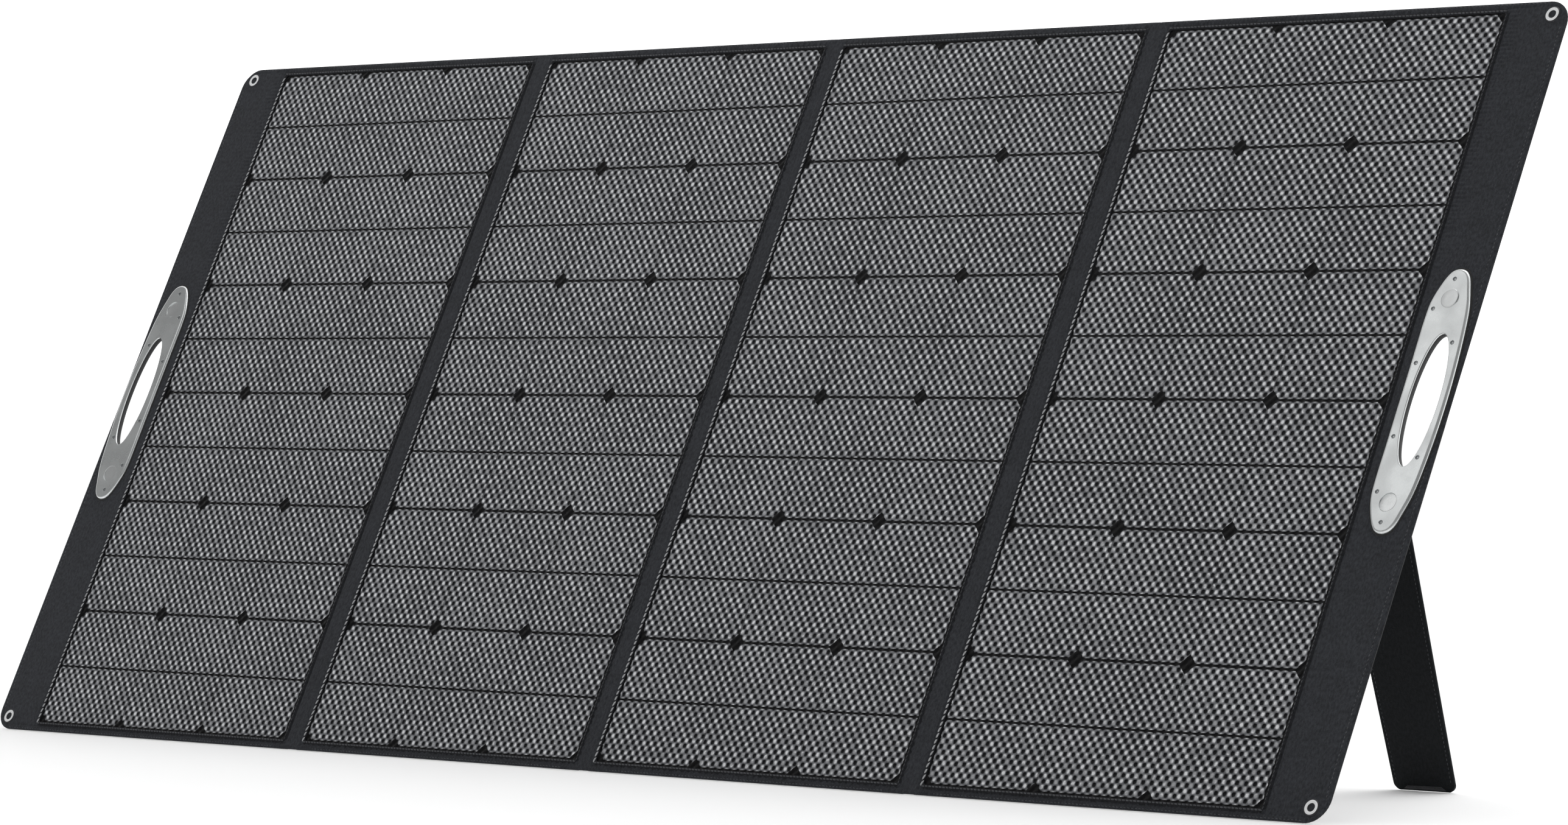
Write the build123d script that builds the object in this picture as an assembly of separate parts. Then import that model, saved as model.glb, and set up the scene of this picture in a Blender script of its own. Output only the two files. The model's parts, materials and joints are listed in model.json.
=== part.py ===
from build123d import *
import math
import os

# Folding camping solar panel: four hinged sections on fold-out legs.
#
# Everything is drawn in the panel's own upright frame, in millimetres: X along the panel,
# Y from the front of the fabric towards the back, Z up the panel from its bottom edge.
# STAND then leans the panel back on its legs and puts the origin under the middle of the
# whole object, at floor level.

# ---- cells -------------------------------------------------------------------------
CELL_PITCH = 168.5          # spacing of the square cells, both ways
CELL_GAP = 2.5              # gap between neighbouring cells
HALF_CUT = 1.2              # gap between the two halves of one cell
CELL_CORNER = 11.5          # chamfered corner of a cell
COLUMNS = 3
ROWS = 6
CELL_THICK = 0.2
RIBBON_WIDTH = 2.4
RIBBON_THICK = 0.2
RIBBON_REACH = 0.35         # of a cell, past the middle of its column

# ---- sections ----------------------------------------------------------------------
PANEL_LENGTH = 2331.2
PANEL_HEIGHT = 1037.6
FOLD_X = 546.5              # outer folds, left and right of the middle fold
INNER_CENTRE = 272.0        # middle of the cells of sections b and c
OUTER_CENTRE = 821.0        # middle of the cells of sections a and d
FLEX_HALF = 9.0             # soft strip on each side of a fold line
FOLD_GAP = 0.2              # free space on each side of a fold line
CORNER_RADIUS = 30.0

# ---- layers, measured back from the front of the raised lip -------------------------
BORDER_FRONT = 0.8
LAMINATE_FRONT = 1.2
LAMINATE_BACK = 2.0
BOARD_BACK = 4.0
COVER_BACK = 5.0
STRIP_BACK = 2.8
LIP_WIDTH = 8.0
WINDOW_HALF_WIDTH = 254.0
WINDOW_HALF_HEIGHT = 506.0
LAMINATE_TUCK_X = 4.5       # laminate hidden under the lip at the sides
LAMINATE_TUCK_Z = 3.2       # and at the top and bottom
LIP_OVERHANG_Z = 7.0
HEM = 3.5                   # turned hem round the backing board
BOARD_CORNER = 52.0         # corner cut of the outer boards, clear of the grommets

# ---- handles -----------------------------------------------------------------------
HANDLE_X = 1127.3
HANDLE_BULGE = 33.6         # widest point outward of the plate centre
HANDLE_SHOULDER = (26.0, 117.0)     # upper end of the bulged side: outward, up
HANDLE_FLAT = (-33.2, 108.0)        # upper end of the straight side
HANDLE_EDGE = 1.2           # rounded front edge
PLATE_FRONT = -3.2
PLATE_REAR_THICK = 1.2
SLOT_HALF_WIDTH = 21.6
SLOT_HALF_HEIGHT = 83.7
SLOT_OFFSET = 1.5           # slot centre, outward of the plate centre
SLEEVE_WALL = 1.6
FIT = 0.1                   # clearance round parts that drop into each other
SCREW_PLACES = [(-5.8, 154.0), (-24.0, 116.0), (17.9, 72.5), (-24.8, 46.5)]
SCREW_RADIUS = 1.5
SCREW_HEAD_RADIUS = 2.6
SCREW_HEAD_DEPTH = 1.2
SCREW_SUNK = 0.5            # screw heads sit this far under the plate's face
MAGNET_PLACE = (-4.3, 129.0)
MAGNET_RADIUS = 11.0
MAGNET_DEPTH = 1.8
MAGNET_TILT = 2.0
MAGNET_SKIM = 1.0           # the tilted cut that sinks one side of a magnet

# ---- grommets ----------------------------------------------------------------------
GROMMET_X = 1143.0
GROMMET_Z = 500.7           # from the middle of the panel's height
GROMMET_HOLE = 4.0
GROMMET_BARREL = 5.4
GROMMET_FLANGE = 10.5
GROMMET_DOME = 1.2
GROMMET_ROUND = 0.9
GROMMET_WASHER = 1.0
GROMMET_ROLL = 0.5          # rolled barrel end behind the washer
GROMMET_FLARE = 7.8

# ---- stand -------------------------------------------------------------------------
TILT = 26.64                # lean of the panel from upright, in degrees
HINGE_HEIGHT = 628.0        # leg hinge, up the panel from its bottom edge
HINGE_BACK = 7.0            # leg hinge line, behind the front of the lip
LEG_LENGTH = 588.0
LEG_HINGE_WIDTH = 113.0
LEG_FOOT_WIDTH = 91.0
LEG_THICK = 4.0
LEG_SKIN = 0.8
LEG_CORNER = 12.0
LEG_SEAM = 2.0              # sewn edge of the leg sleeve, beside its board
LEG_TOP_GAP = 1.0           # leg starts this far below the hinge line
LEG_OFFSET = 133.0          # legs stand outward of the middle of their section
HINGE_FLAP = 26.0           # height of the band that carries the leg
HINGE_FLAP_WIDTH = 130.0
STRAP_REACH = 230.0         # strap ends, down from the leg hinge
STRAP_WIDTH = 20.0
STRAP_THICK = 1.2
STRAP_CLEAR = 0.3
PATCH_WIDTH = 50.0          # hook patch that holds the closed leg
PATCH_HEIGHT = 25.0
PATCH_REACH = 500.0         # its place, down from the leg hinge
SEWN_ON_THICK = 1.0         # fabric sewn on the back cover

# ---- fold axes ---------------------------------------------------------------------
OUTER_AXIS_Y = -3.0         # sections a and d fold over the front
MIDDLE_AXIS_Y = 12.0        # sections b and c fold back to back, round the legs

# ---- junction box ------------------------------------------------------------------
BOX_X = -690.0
BOX_Z = 300.0
BOX_WIDTH = 96.0
BOX_HEIGHT = 62.0
BOX_DEPTH = 14.0
BOX_WALL = 2.0
BOX_LID = 2.5
BOX_SCREW_INSET = 6.0
BOX_POST_RADIUS = 3.4
BOX_SCREW_RADIUS = 1.4
BOX_SCREW_HEAD = 2.6
GLAND_RADIUS = 6.0
GLAND_BORE = 3.0
GLAND_LENGTH = 14.0
GLAND_COLLAR = 4.0
GLAND_NECK = 4.5            # radius of the part inside the box wall
GLAND_TIP = 4.2             # radius of the thin end
DIODE_COUNT = 3
DIODE_PITCH = 26.0
DIODE_SIZE = (16.0, 7.0, 5.0)
LEAD_SIZE = (22.0, 1.4)
LEAD_SPAN = (1.6, 3.0)      # height of the leads above the box floor
BOX_CORNER = 8.0
LID_EDGE = 0.8
LID_SEAT = 1.0              # lid left under each screw head
BOX_SCREW_LENGTH = 8.0

MIDDLE_Z = PANEL_HEIGHT / 2
HALF_LENGTH = PANEL_LENGTH / 2
FLOOR_DROP = COVER_BACK * math.sin(math.radians(TILT))
HINGE_RISE = HINGE_HEIGHT * math.cos(math.radians(TILT)) - HINGE_BACK * math.sin(math.radians(TILT))
LEG_LEAN = math.degrees(math.acos((HINGE_RISE + FLOOR_DROP) / LEG_LENGTH))
LEG_OPEN = TILT + LEG_LEAN

# Each section: middle of its cells, its stiff part's left and right ends, and the side
# (-1 left, +1 right) that carries a handle, or 0.
SECTIONS = {
    "a": (-OUTER_CENTRE, -HALF_LENGTH, -FOLD_X - FLEX_HALF, -1),
    "b": (-INNER_CENTRE, -FOLD_X + FLEX_HALF, -FLEX_HALF, 0),
    "c": (INNER_CENTRE, FLEX_HALF, FOLD_X - FLEX_HALF, 0),
    "d": (OUTER_CENTRE, FOLD_X + FLEX_HALF, HALF_LENGTH, 1),
}
LEG_SIDE = {"a": -1, "b": -1, "c": 1, "d": 1}

# The fold lines that each section borders, and the side of the line that it lies on.
FOLD_ENDS = {
    "a": [(-FOLD_X, -1)],
    "b": [(-FOLD_X, 1), (0.0, -1)],
    "c": [(0.0, 1), (FOLD_X, -1)],
    "d": [(FOLD_X, 1)],
}


def slab(sketch, front, back):
    """Extrude an X-Z outline so that it fills the layer from front to back."""
    return extrude(Plane.XZ.offset(-back) * sketch, amount=back - front)


def rectangle(left, right, bottom, top):
    """An X-Z rectangle by its four sides."""
    return Pos((left + right) / 2, (bottom + top) / 2) * Rectangle(right - left, top - bottom)


def window(centre, half_width, half_height):
    """An X-Z rectangle round the middle of a section."""
    return Pos(centre, MIDDLE_Z) * Rectangle(2 * half_width, 2 * half_height)


def section_outline(name, inset=0.0, corner_cut=0.0):
    """The outline of a section's stiff part, with round or cut corners at a handle end."""
    centre, left, right, handle_side = SECTIONS[name]
    face = rectangle(left + inset, right - inset, inset, PANEL_HEIGHT - inset)
    if handle_side == 0:
        return face
    ordered = face.vertices().sort_by(Axis.X)
    outer = ordered[:2] if handle_side < 0 else ordered[-2:]
    if corner_cut > 0:
        return chamfer(outer, corner_cut)
    return fillet(outer, CORNER_RADIUS - inset)


def slot_outline(side, grow=0.0):
    """The hand slot of the handle on one side."""
    centre_x = side * (HANDLE_X + SLOT_OFFSET)
    return Pos(centre_x, MIDDLE_Z) * Ellipse(SLOT_HALF_WIDTH + grow, SLOT_HALF_HEIGHT + grow)


def handle_outline(side):
    """The handle plate: nearly straight towards the cells, bulged outward, round ends."""
    end_points = [HANDLE_SHOULDER, (19.4, 141.0), (13.2, 158.0), (-2.6, 167.9)]
    end_points += [(-18.6, 158.0), (-26.7, 140.8), HANDLE_FLAT]
    lower_points = [(x, -z) for x, z in reversed(end_points)]
    shoulder, flat = HANDLE_SHOULDER, HANDLE_FLAT
    sagitta = HANDLE_BULGE - shoulder[0]
    bulge_radius = (shoulder[1] ** 2 + sagitta**2) / (2 * sagitta)
    lean = (-shoulder[1], bulge_radius - sagitta)
    edges = ThreePointArc((shoulder[0], -shoulder[1]), (HANDLE_BULGE, 0), shoulder)
    edges += Spline(*end_points, tangents=[lean, (0, -1)])
    edges += Line(flat, (flat[0], -flat[1]))
    edges += Spline(*lower_points, tangents=[(0, -1), (-lean[0], lean[1])])
    face = make_face(edges)
    if side < 0:
        face = mirror(face, Plane.YZ)
    return Pos(side * HANDLE_X, MIDDLE_Z) * face


def mirrored_places(side, places):
    """Places on a handle plate, repeated above and below its middle, in X-Z."""
    found = []
    for outward, up in places:
        for sign in (1, -1):
            found.append((side * (HANDLE_X + outward), MIDDLE_Z + sign * up))
    return found


def discs(places, radius):
    """Round outlines at several X-Z places."""
    return [Pos(x, z) * Circle(radius) for x, z in places]


def grommet_places(side):
    """The two grommets at one end of the panel, in X-Z."""
    return [(side * GROMMET_X, MIDDLE_Z + sign * GROMMET_Z) for sign in (1, -1)]


def handle_cuts(side, shape, front, back):
    """Cut the hand slot, the screw holes and the grommet holes through a border layer."""
    shape -= slab(slot_outline(side, SLEEVE_WALL + FIT), front, back)
    for hole in discs(mirrored_places(side, SCREW_PLACES), SCREW_RADIUS + FIT):
        shape -= slab(hole, front, back)
    for hole in discs(grommet_places(side), GROMMET_BARREL + FIT):
        shape -= slab(hole, front, back)
    return shape


def half_cells(centre):
    """Outlines of the half-cut cells of one section."""
    side = CELL_PITCH - CELL_GAP
    whole = Rectangle(side, side)
    whole = chamfer(whole.vertices(), CELL_CORNER)
    halves = whole - Rectangle(side + CELL_GAP, HALF_CUT)
    cells = []
    for column in range(COLUMNS):
        for row in range(ROWS):
            x = centre + (column - (COLUMNS - 1) / 2) * CELL_PITCH
            z = MIDDLE_Z + (row - (ROWS - 1) / 2) * CELL_PITCH
            cells += [Pos(x, z) * face for face in halves.faces()]
    return cells


def ribbon_outlines(centre):
    """Flat ribbons that join the three cell columns in series, hidden under the lip."""
    column = CELL_PITCH
    inner = WINDOW_HALF_HEIGHT + FIT
    outer = inner + RIBBON_WIDTH
    reach = column * RIBBON_REACH
    top = (MIDDLE_Z + inner, MIDDLE_Z + outer)
    bottom = (MIDDLE_Z - outer, MIDDLE_Z - inner)
    return [
        rectangle(centre - column - reach, centre + reach, *top),
        rectangle(centre + column - reach, centre + column + reach, *top),
        rectangle(centre - reach, centre + column + reach, *bottom),
        rectangle(centre - column - reach, centre - column + reach, *bottom),
    ]


def front_frame(name):
    """Fabric border round the laminate, with the raised lip that holds its edge down."""
    centre, left, right, handle_side = SECTIONS[name]
    hidden = window(centre, WINDOW_HALF_WIDTH + LAMINATE_TUCK_X, WINDOW_HALF_HEIGHT + LAMINATE_TUCK_Z)
    visible = window(centre, WINDOW_HALF_WIDTH, WINDOW_HALF_HEIGHT)
    lip = window(centre, WINDOW_HALF_WIDTH + LIP_WIDTH, WINDOW_HALF_HEIGHT + LIP_OVERHANG_Z)
    frame = slab(section_outline(name) - hidden, BORDER_FRONT, LAMINATE_BACK)
    frame += slab(lip - visible, 0.0, LAMINATE_FRONT)
    if handle_side != 0:
        frame = handle_cuts(handle_side, frame, BORDER_FRONT, LAMINATE_BACK)
    return frame


def laminate(name):
    """Front sheet with pockets in its back for the cells and ribbons."""
    centre = SECTIONS[name][0]
    outline = window(centre, WINDOW_HALF_WIDTH + LAMINATE_TUCK_X, WINDOW_HALF_HEIGHT + LAMINATE_TUCK_Z)
    sheet = slab(outline, LAMINATE_FRONT, LAMINATE_BACK)
    pockets = [slab(cell, LAMINATE_BACK - CELL_THICK, LAMINATE_BACK) for cell in half_cells(centre)]
    pockets += [
        slab(strip, LAMINATE_BACK - RIBBON_THICK, LAMINATE_BACK) for strip in ribbon_outlines(centre)
    ]
    return sheet - pockets


def cells(name):
    """The half-cut silicon cells."""
    centre = SECTIONS[name][0]
    return [slab(cell, LAMINATE_BACK - CELL_THICK, LAMINATE_BACK) for cell in half_cells(centre)]


def ribbons(name):
    """The tinned copper ribbons."""
    centre = SECTIONS[name][0]
    return [
        slab(strip, LAMINATE_BACK - RIBBON_THICK, LAMINATE_BACK) for strip in ribbon_outlines(centre)
    ]


def board(name):
    """Stiff backing board."""
    handle_side = SECTIONS[name][3]
    plate = slab(section_outline(name, HEM, BOARD_CORNER), LAMINATE_BACK, BOARD_BACK)
    if handle_side != 0:
        plate = handle_cuts(handle_side, plate, LAMINATE_BACK, BOARD_BACK)
    return plate


def leg_centre(name):
    """X of the middle of a section's leg."""
    return SECTIONS[name][0] + LEG_SIDE[name] * LEG_OFFSET


def back_cover(name):
    """Back fabric with its turned hem, and the band that carries the leg."""
    handle_side = SECTIONS[name][3]
    cover = slab(section_outline(name), LAMINATE_BACK, COVER_BACK)
    cover -= slab(section_outline(name, HEM, BOARD_CORNER), LAMINATE_BACK, BOARD_BACK)
    if handle_side != 0:
        cover = handle_cuts(handle_side, cover, LAMINATE_BACK, COVER_BACK)
    middle = leg_centre(name)
    flap = rectangle(
        middle - HINGE_FLAP_WIDTH / 2,
        middle + HINGE_FLAP_WIDTH / 2,
        HINGE_HEIGHT + LEG_THICK,
        HINGE_HEIGHT + LEG_THICK + HINGE_FLAP,
    )
    return cover + slab(flap, COVER_BACK, COVER_BACK + SEWN_ON_THICK)


def leg_patch(name):
    """Hook patch on the back cover, behind the closed leg."""
    place = Pos(leg_centre(name), HINGE_HEIGHT - PATCH_REACH)
    return slab(place * Rectangle(PATCH_WIDTH, PATCH_HEIGHT), COVER_BACK, COVER_BACK + SEWN_ON_THICK)


def fold_strip(name):
    """The soft strips between a section's stiff part and its fold lines."""
    strips = []
    for fold, side in FOLD_ENDS[name]:
        near = fold + side * FOLD_GAP
        far = fold + side * FLEX_HALF
        outline = rectangle(min(near, far), max(near, far), 0, PANEL_HEIGHT)
        strips.append(slab(outline, BORDER_FRONT, STRIP_BACK))
    return strips


def leg_outline(name, inset=0.0):
    """A tapered leg with rounded foot corners, hanging down from the hinge line."""
    middle = leg_centre(name)
    top = HINGE_HEIGHT - LEG_TOP_GAP
    foot = HINGE_HEIGHT - LEG_LENGTH + inset
    half_top = LEG_HINGE_WIDTH / 2 - inset
    half_foot = LEG_FOOT_WIDTH / 2 - inset
    corners = [
        (middle - half_top, top),
        (middle + half_top, top),
        (middle + half_foot, foot),
        (middle - half_foot, foot),
    ]
    face = make_face(Polyline(*corners, close=True))
    return fillet(face.vertices().sort_by(Axis.Y)[:2], LEG_CORNER - inset)


def open_leg(shape):
    """Swing a leg from flat against the back to its stop."""
    hinge = Pos(0, HINGE_BACK, HINGE_HEIGHT)
    return hinge * Rot(X=LEG_OPEN) * hinge.inverse() * shape


def leg_core(name):
    """Stiff board inside the leg."""
    outline = leg_outline(name, LEG_SEAM)
    return open_leg(slab(outline, HINGE_BACK + LEG_SKIN, HINGE_BACK + LEG_THICK - LEG_SKIN))


def leg_cover(name):
    """Fabric sleeve round the leg board, open at the top where it is sewn shut."""
    sleeve = slab(leg_outline(name), HINGE_BACK, HINGE_BACK + LEG_THICK)
    room = slab(leg_outline(name, LEG_SEAM), HINGE_BACK + LEG_SKIN, HINGE_BACK + LEG_THICK - LEG_SKIN)
    return open_leg(sleeve - room)


def leg_strap(name):
    """Webbing that stops the leg at its full opening."""
    open_angle = math.radians(LEG_OPEN)
    along = (math.sin(open_angle), -math.cos(open_angle))
    toward_panel = (-math.cos(open_angle), -math.sin(open_angle))
    low_y = COVER_BACK
    low_z = HINGE_HEIGHT - STRAP_REACH
    far_y = HINGE_BACK + STRAP_REACH * along[0] + STRAP_CLEAR * toward_panel[0]
    far_z = HINGE_HEIGHT + STRAP_REACH * along[1] + STRAP_CLEAR * toward_panel[1]
    corners = [
        (low_y, low_z),
        (far_y, far_z),
        (far_y - STRAP_THICK * along[0], far_z - STRAP_THICK * along[1]),
        (low_y, low_z + STRAP_THICK),
    ]
    profile = make_face(Polyline(*corners, close=True))
    middle = leg_centre(name)
    return extrude(Plane.YZ.offset(middle - STRAP_WIDTH / 2) * profile, amount=STRAP_WIDTH)


def handle_front(side):
    """Front handle plate with the sleeve that lines the hand slot."""
    plate = slab(handle_outline(side), PLATE_FRONT, BORDER_FRONT)
    rim = plate.faces().sort_by(Axis.Y)[0].edges()
    plate = fillet(rim, HANDLE_EDGE)
    plate += slab(slot_outline(side, SLEEVE_WALL), BORDER_FRONT, COVER_BACK)
    plate -= slab(slot_outline(side), PLATE_FRONT, COVER_BACK)
    for hole in discs(mirrored_places(side, SCREW_PLACES), SCREW_RADIUS + FIT):
        plate -= slab(hole, PLATE_FRONT, BORDER_FRONT)
    for hole in discs(mirrored_places(side, SCREW_PLACES), SCREW_HEAD_RADIUS + FIT):
        plate -= slab(hole, PLATE_FRONT, PLATE_FRONT + SCREW_HEAD_DEPTH)
    for hole in discs(mirrored_places(side, [MAGNET_PLACE]), MAGNET_RADIUS + FIT):
        plate -= slab(hole, PLATE_FRONT, PLATE_FRONT + MAGNET_DEPTH)
    return plate


def handle_back(side):
    """Rear handle plate."""
    rear = COVER_BACK + PLATE_REAR_THICK
    plate = slab(handle_outline(side) - slot_outline(side), COVER_BACK, rear)
    for hole in discs(mirrored_places(side, SCREW_PLACES), SCREW_RADIUS + FIT):
        plate -= slab(hole, COVER_BACK, rear)
    return plate


def handle_screws(side):
    """Screws that clamp the two plates."""
    screws = []
    head_floor = PLATE_FRONT + SCREW_HEAD_DEPTH
    for x, z in mirrored_places(side, SCREW_PLACES):
        shank = slab(Pos(x, z) * Circle(SCREW_RADIUS), head_floor, COVER_BACK + PLATE_REAR_THICK)
        head = slab(Pos(x, z) * Circle(SCREW_HEAD_RADIUS), PLATE_FRONT + SCREW_SUNK, head_floor)
        screws.append(shank + head)
    return screws


def handle_magnets(side):
    """Round closing magnets, set a little askew in their seats."""
    magnets = []
    floor = PLATE_FRONT + MAGNET_DEPTH
    skim_size = 3 * MAGNET_RADIUS
    for x, z in mirrored_places(side, [MAGNET_PLACE]):
        up = 1 if z > MIDDLE_Z else -1
        disc = slab(Pos(x, z) * Circle(MAGNET_RADIUS), PLATE_FRONT, floor)
        skim = Pos(x, PLATE_FRONT, z) * Rot(X=up * MAGNET_TILT) * Box(skim_size, MAGNET_SKIM, skim_size)
        magnets.append(disc - skim)
    return magnets


def grommets(side):
    """Two eyelets with their washers."""
    pieces = []
    washer_back = COVER_BACK + GROMMET_WASHER
    tip = washer_back + GROMMET_ROLL
    for x, z in grommet_places(side):
        flange = slab(Pos(x, z) * Circle(GROMMET_FLANGE), BORDER_FRONT - GROMMET_DOME, BORDER_FRONT)
        flange = fillet(flange.faces().sort_by(Axis.Y)[0].edges(), GROMMET_ROUND)
        barrel = slab(Pos(x, z) * Circle(GROMMET_BARREL), BORDER_FRONT, tip)
        rolled = slab(Pos(x, z) * Circle(GROMMET_FLARE), washer_back, tip)
        eyelet = flange + barrel + rolled
        eyelet -= slab(Pos(x, z) * Circle(GROMMET_HOLE), BORDER_FRONT - GROMMET_DOME, tip)
        ring = Circle(GROMMET_FLANGE) - Circle(GROMMET_BARREL)
        pieces.append(eyelet)
        pieces.append(slab(Pos(x, z) * ring, COVER_BACK, washer_back))
    return pieces


def box_outline(inset=0.0):
    """The junction box, seen from behind."""
    face = Pos(BOX_X, BOX_Z) * Rectangle(BOX_WIDTH - 2 * inset, BOX_HEIGHT - 2 * inset)
    return fillet(face.vertices(), BOX_CORNER - inset)


def box_screw_places():
    """The four lid screws in X-Z."""
    reach_x = BOX_WIDTH / 2 - BOX_SCREW_INSET
    reach_z = BOX_HEIGHT / 2 - BOX_SCREW_INSET
    return [(BOX_X + i * reach_x, BOX_Z + j * reach_z) for i in (-1, 1) for j in (-1, 1)]


def box_base():
    """Junction box tray with screw posts and a hole for the gland."""
    rim = COVER_BACK + BOX_DEPTH
    tray = slab(box_outline(), COVER_BACK, rim)
    tray -= slab(box_outline(BOX_WALL), COVER_BACK + BOX_WALL, rim)
    for place in discs(box_screw_places(), BOX_POST_RADIUS):
        tray += slab(place, COVER_BACK + BOX_WALL / 2, rim)
    for place in discs(box_screw_places(), BOX_SCREW_RADIUS + FIT):
        tray -= slab(place, COVER_BACK + BOX_WALL, rim)
    return tray - gland_neck(GLAND_NECK + FIT)


def box_lid():
    """Junction box lid."""
    front = COVER_BACK + BOX_DEPTH
    lid = slab(box_outline(), front, front + BOX_LID)
    lid = chamfer(lid.faces().sort_by(Axis.Y)[-1].edges(), LID_EDGE)
    for place in discs(box_screw_places(), BOX_SCREW_RADIUS + FIT):
        lid -= slab(place, front, front + BOX_LID)
    for place in discs(box_screw_places(), BOX_SCREW_HEAD + FIT):
        lid -= slab(place, front + LID_SEAT, front + BOX_LID)
    return lid


def box_screws():
    """The lid screws."""
    front = COVER_BACK + BOX_DEPTH
    screws = []
    for x, z in box_screw_places():
        seat = front + LID_SEAT
        shank = slab(Pos(x, z) * Circle(BOX_SCREW_RADIUS), front - BOX_SCREW_LENGTH, seat)
        head = slab(Pos(x, z) * Circle(BOX_SCREW_HEAD), seat, front + BOX_LID - FIT)
        screws.append(shank + head)
    return screws


def gland_place():
    """The middle of the hole in the box's lower wall, on its outside."""
    return Pos(BOX_X, COVER_BACK + BOX_DEPTH / 2, BOX_Z - BOX_HEIGHT / 2)


def gland_neck(radius):
    """The gland's neck, which passes up through the box wall."""
    return gland_place() * Cylinder(radius, BOX_WALL, align=(Align.CENTER, Align.CENTER, Align.MIN))


def cable_gland():
    """Rubber cable outlet with its collar, left without a cable."""
    hanging = (Align.CENTER, Align.CENTER, Align.MAX)
    tail = GLAND_LENGTH - BOX_WALL - GLAND_COLLAR
    collar = Cylinder(GLAND_RADIUS, GLAND_COLLAR, align=hanging)
    cone = Cone(GLAND_TIP, GLAND_RADIUS - 0.8, tail, align=hanging)
    bore = Cylinder(GLAND_BORE, 2 * GLAND_LENGTH)
    body = collar + Pos(0, 0, -GLAND_COLLAR) * cone
    return gland_place() * body + gland_neck(GLAND_NECK) - gland_place() * bore


def bypass_diodes():
    """Bypass diodes, each a bar with a lead at both ends."""
    parts = []
    back = COVER_BACK + BOX_WALL
    width, height, depth = DIODE_SIZE
    for index in range(DIODE_COUNT):
        x = BOX_X + (index - (DIODE_COUNT - 1) / 2) * DIODE_PITCH
        bar = slab(Pos(x, BOX_Z) * Rectangle(width, height), back, back + depth)
        leads = slab(Pos(x, BOX_Z) * Rectangle(*LEAD_SIZE), back + LEAD_SPAN[0], back + LEAD_SPAN[1])
        parts.append(bar + leads)
    return parts


def build_nodes():
    """Every node by name, in the upright frame."""
    nodes = {}
    for name in SECTIONS:
        nodes["front_frame_" + name] = front_frame(name)
        nodes["laminate_" + name] = laminate(name)
        nodes["cells_" + name] = cells(name)
        nodes["ribbons_" + name] = ribbons(name)
        nodes["board_" + name] = board(name)
        nodes["back_cover_" + name] = back_cover(name)
        nodes["fold_strip_" + name] = fold_strip(name)
        nodes["leg_core_" + name] = leg_core(name)
        nodes["leg_cover_" + name] = leg_cover(name)
        nodes["leg_strap_" + name] = leg_strap(name)
        nodes["leg_patch_" + name] = leg_patch(name)
    for word, side in (("left", -1), ("right", 1)):
        nodes["handle_front_" + word] = handle_front(side)
        nodes["handle_back_" + word] = handle_back(side)
        nodes["handle_screws_" + word] = handle_screws(side)
        nodes["handle_magnets_" + word] = handle_magnets(side)
        nodes["grommets_" + word] = grommets(side)
    nodes["junction_box_base"] = box_base()
    nodes["junction_box_lid"] = box_lid()
    nodes["junction_box_screws"] = box_screws()
    nodes["cable_gland"] = cable_gland()
    nodes["bypass_diodes"] = bypass_diodes()
    return nodes


def as_one(shape):
    """A single shape, or several solids held in one compound."""
    if isinstance(shape, (list, tuple)):
        solids = [solid for item in shape for solid in item.solids()]
        return Compound(solids)
    solids = shape.solids()
    return solids[0] if len(solids) == 1 else Compound(solids)


def depth_range():
    """Y of the front-most and rear-most points of the leaning panel, before centring."""
    lean = math.radians(TILT)
    foot = math.radians(LEG_LEAN)
    front = BORDER_FRONT * math.cos(lean)
    top = COVER_BACK * math.cos(lean) + PANEL_HEIGHT * math.sin(lean)
    hinge = HINGE_BACK * math.cos(lean) + HINGE_HEIGHT * math.sin(lean)
    heel = hinge + LEG_LENGTH * math.sin(foot) + LEG_THICK * math.cos(foot)
    return front, max(top, heel)


front_y, rear_y = depth_range()
STAND = Pos(0, -(front_y + rear_y) / 2, FLOOR_DROP) * Rot(X=-TILT)


def place_in_row(point):
    """A point of the upright frame, in the finished part's frame."""
    spot = STAND * Pos(*point)
    return tuple(round(value, 4) for value in spot.position)


os.makedirs("parts", exist_ok=True)
for node, shape in build_nodes().items():
    export_step(STAND * as_one(shape), "parts/" + node + ".step")

print("leg opening", round(LEG_OPEN, 4), "lean", round(LEG_LEAN, 4))
print("outer fold axis left", place_in_row((-FOLD_X, OUTER_AXIS_Y, MIDDLE_Z)))
print("middle fold axis", place_in_row((0, MIDDLE_AXIS_Y, MIDDLE_Z)))
print("outer fold axis right", place_in_row((FOLD_X, OUTER_AXIS_Y, MIDDLE_Z)))
print("leg hinge", place_in_row((0, HINGE_BACK, HINGE_HEIGHT)))
print("strap anchor", place_in_row((0, COVER_BACK, HINGE_HEIGHT - STRAP_REACH)))
print("hand slot", place_in_row((HANDLE_X + SLOT_OFFSET, COVER_BACK / 2, MIDDLE_Z)))
for word, up in (("upper", 1), ("lower", -1)):
    print("grommet", word, place_in_row((GROMMET_X, COVER_BACK / 2, MIDDLE_Z + up * GROMMET_Z)))
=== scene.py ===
import json
import math
import random

import bmesh
import bpy
import numpy as np
from mathutils import Matrix, Vector
from mathutils.geometry import delaunay_2d_cdt


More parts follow.
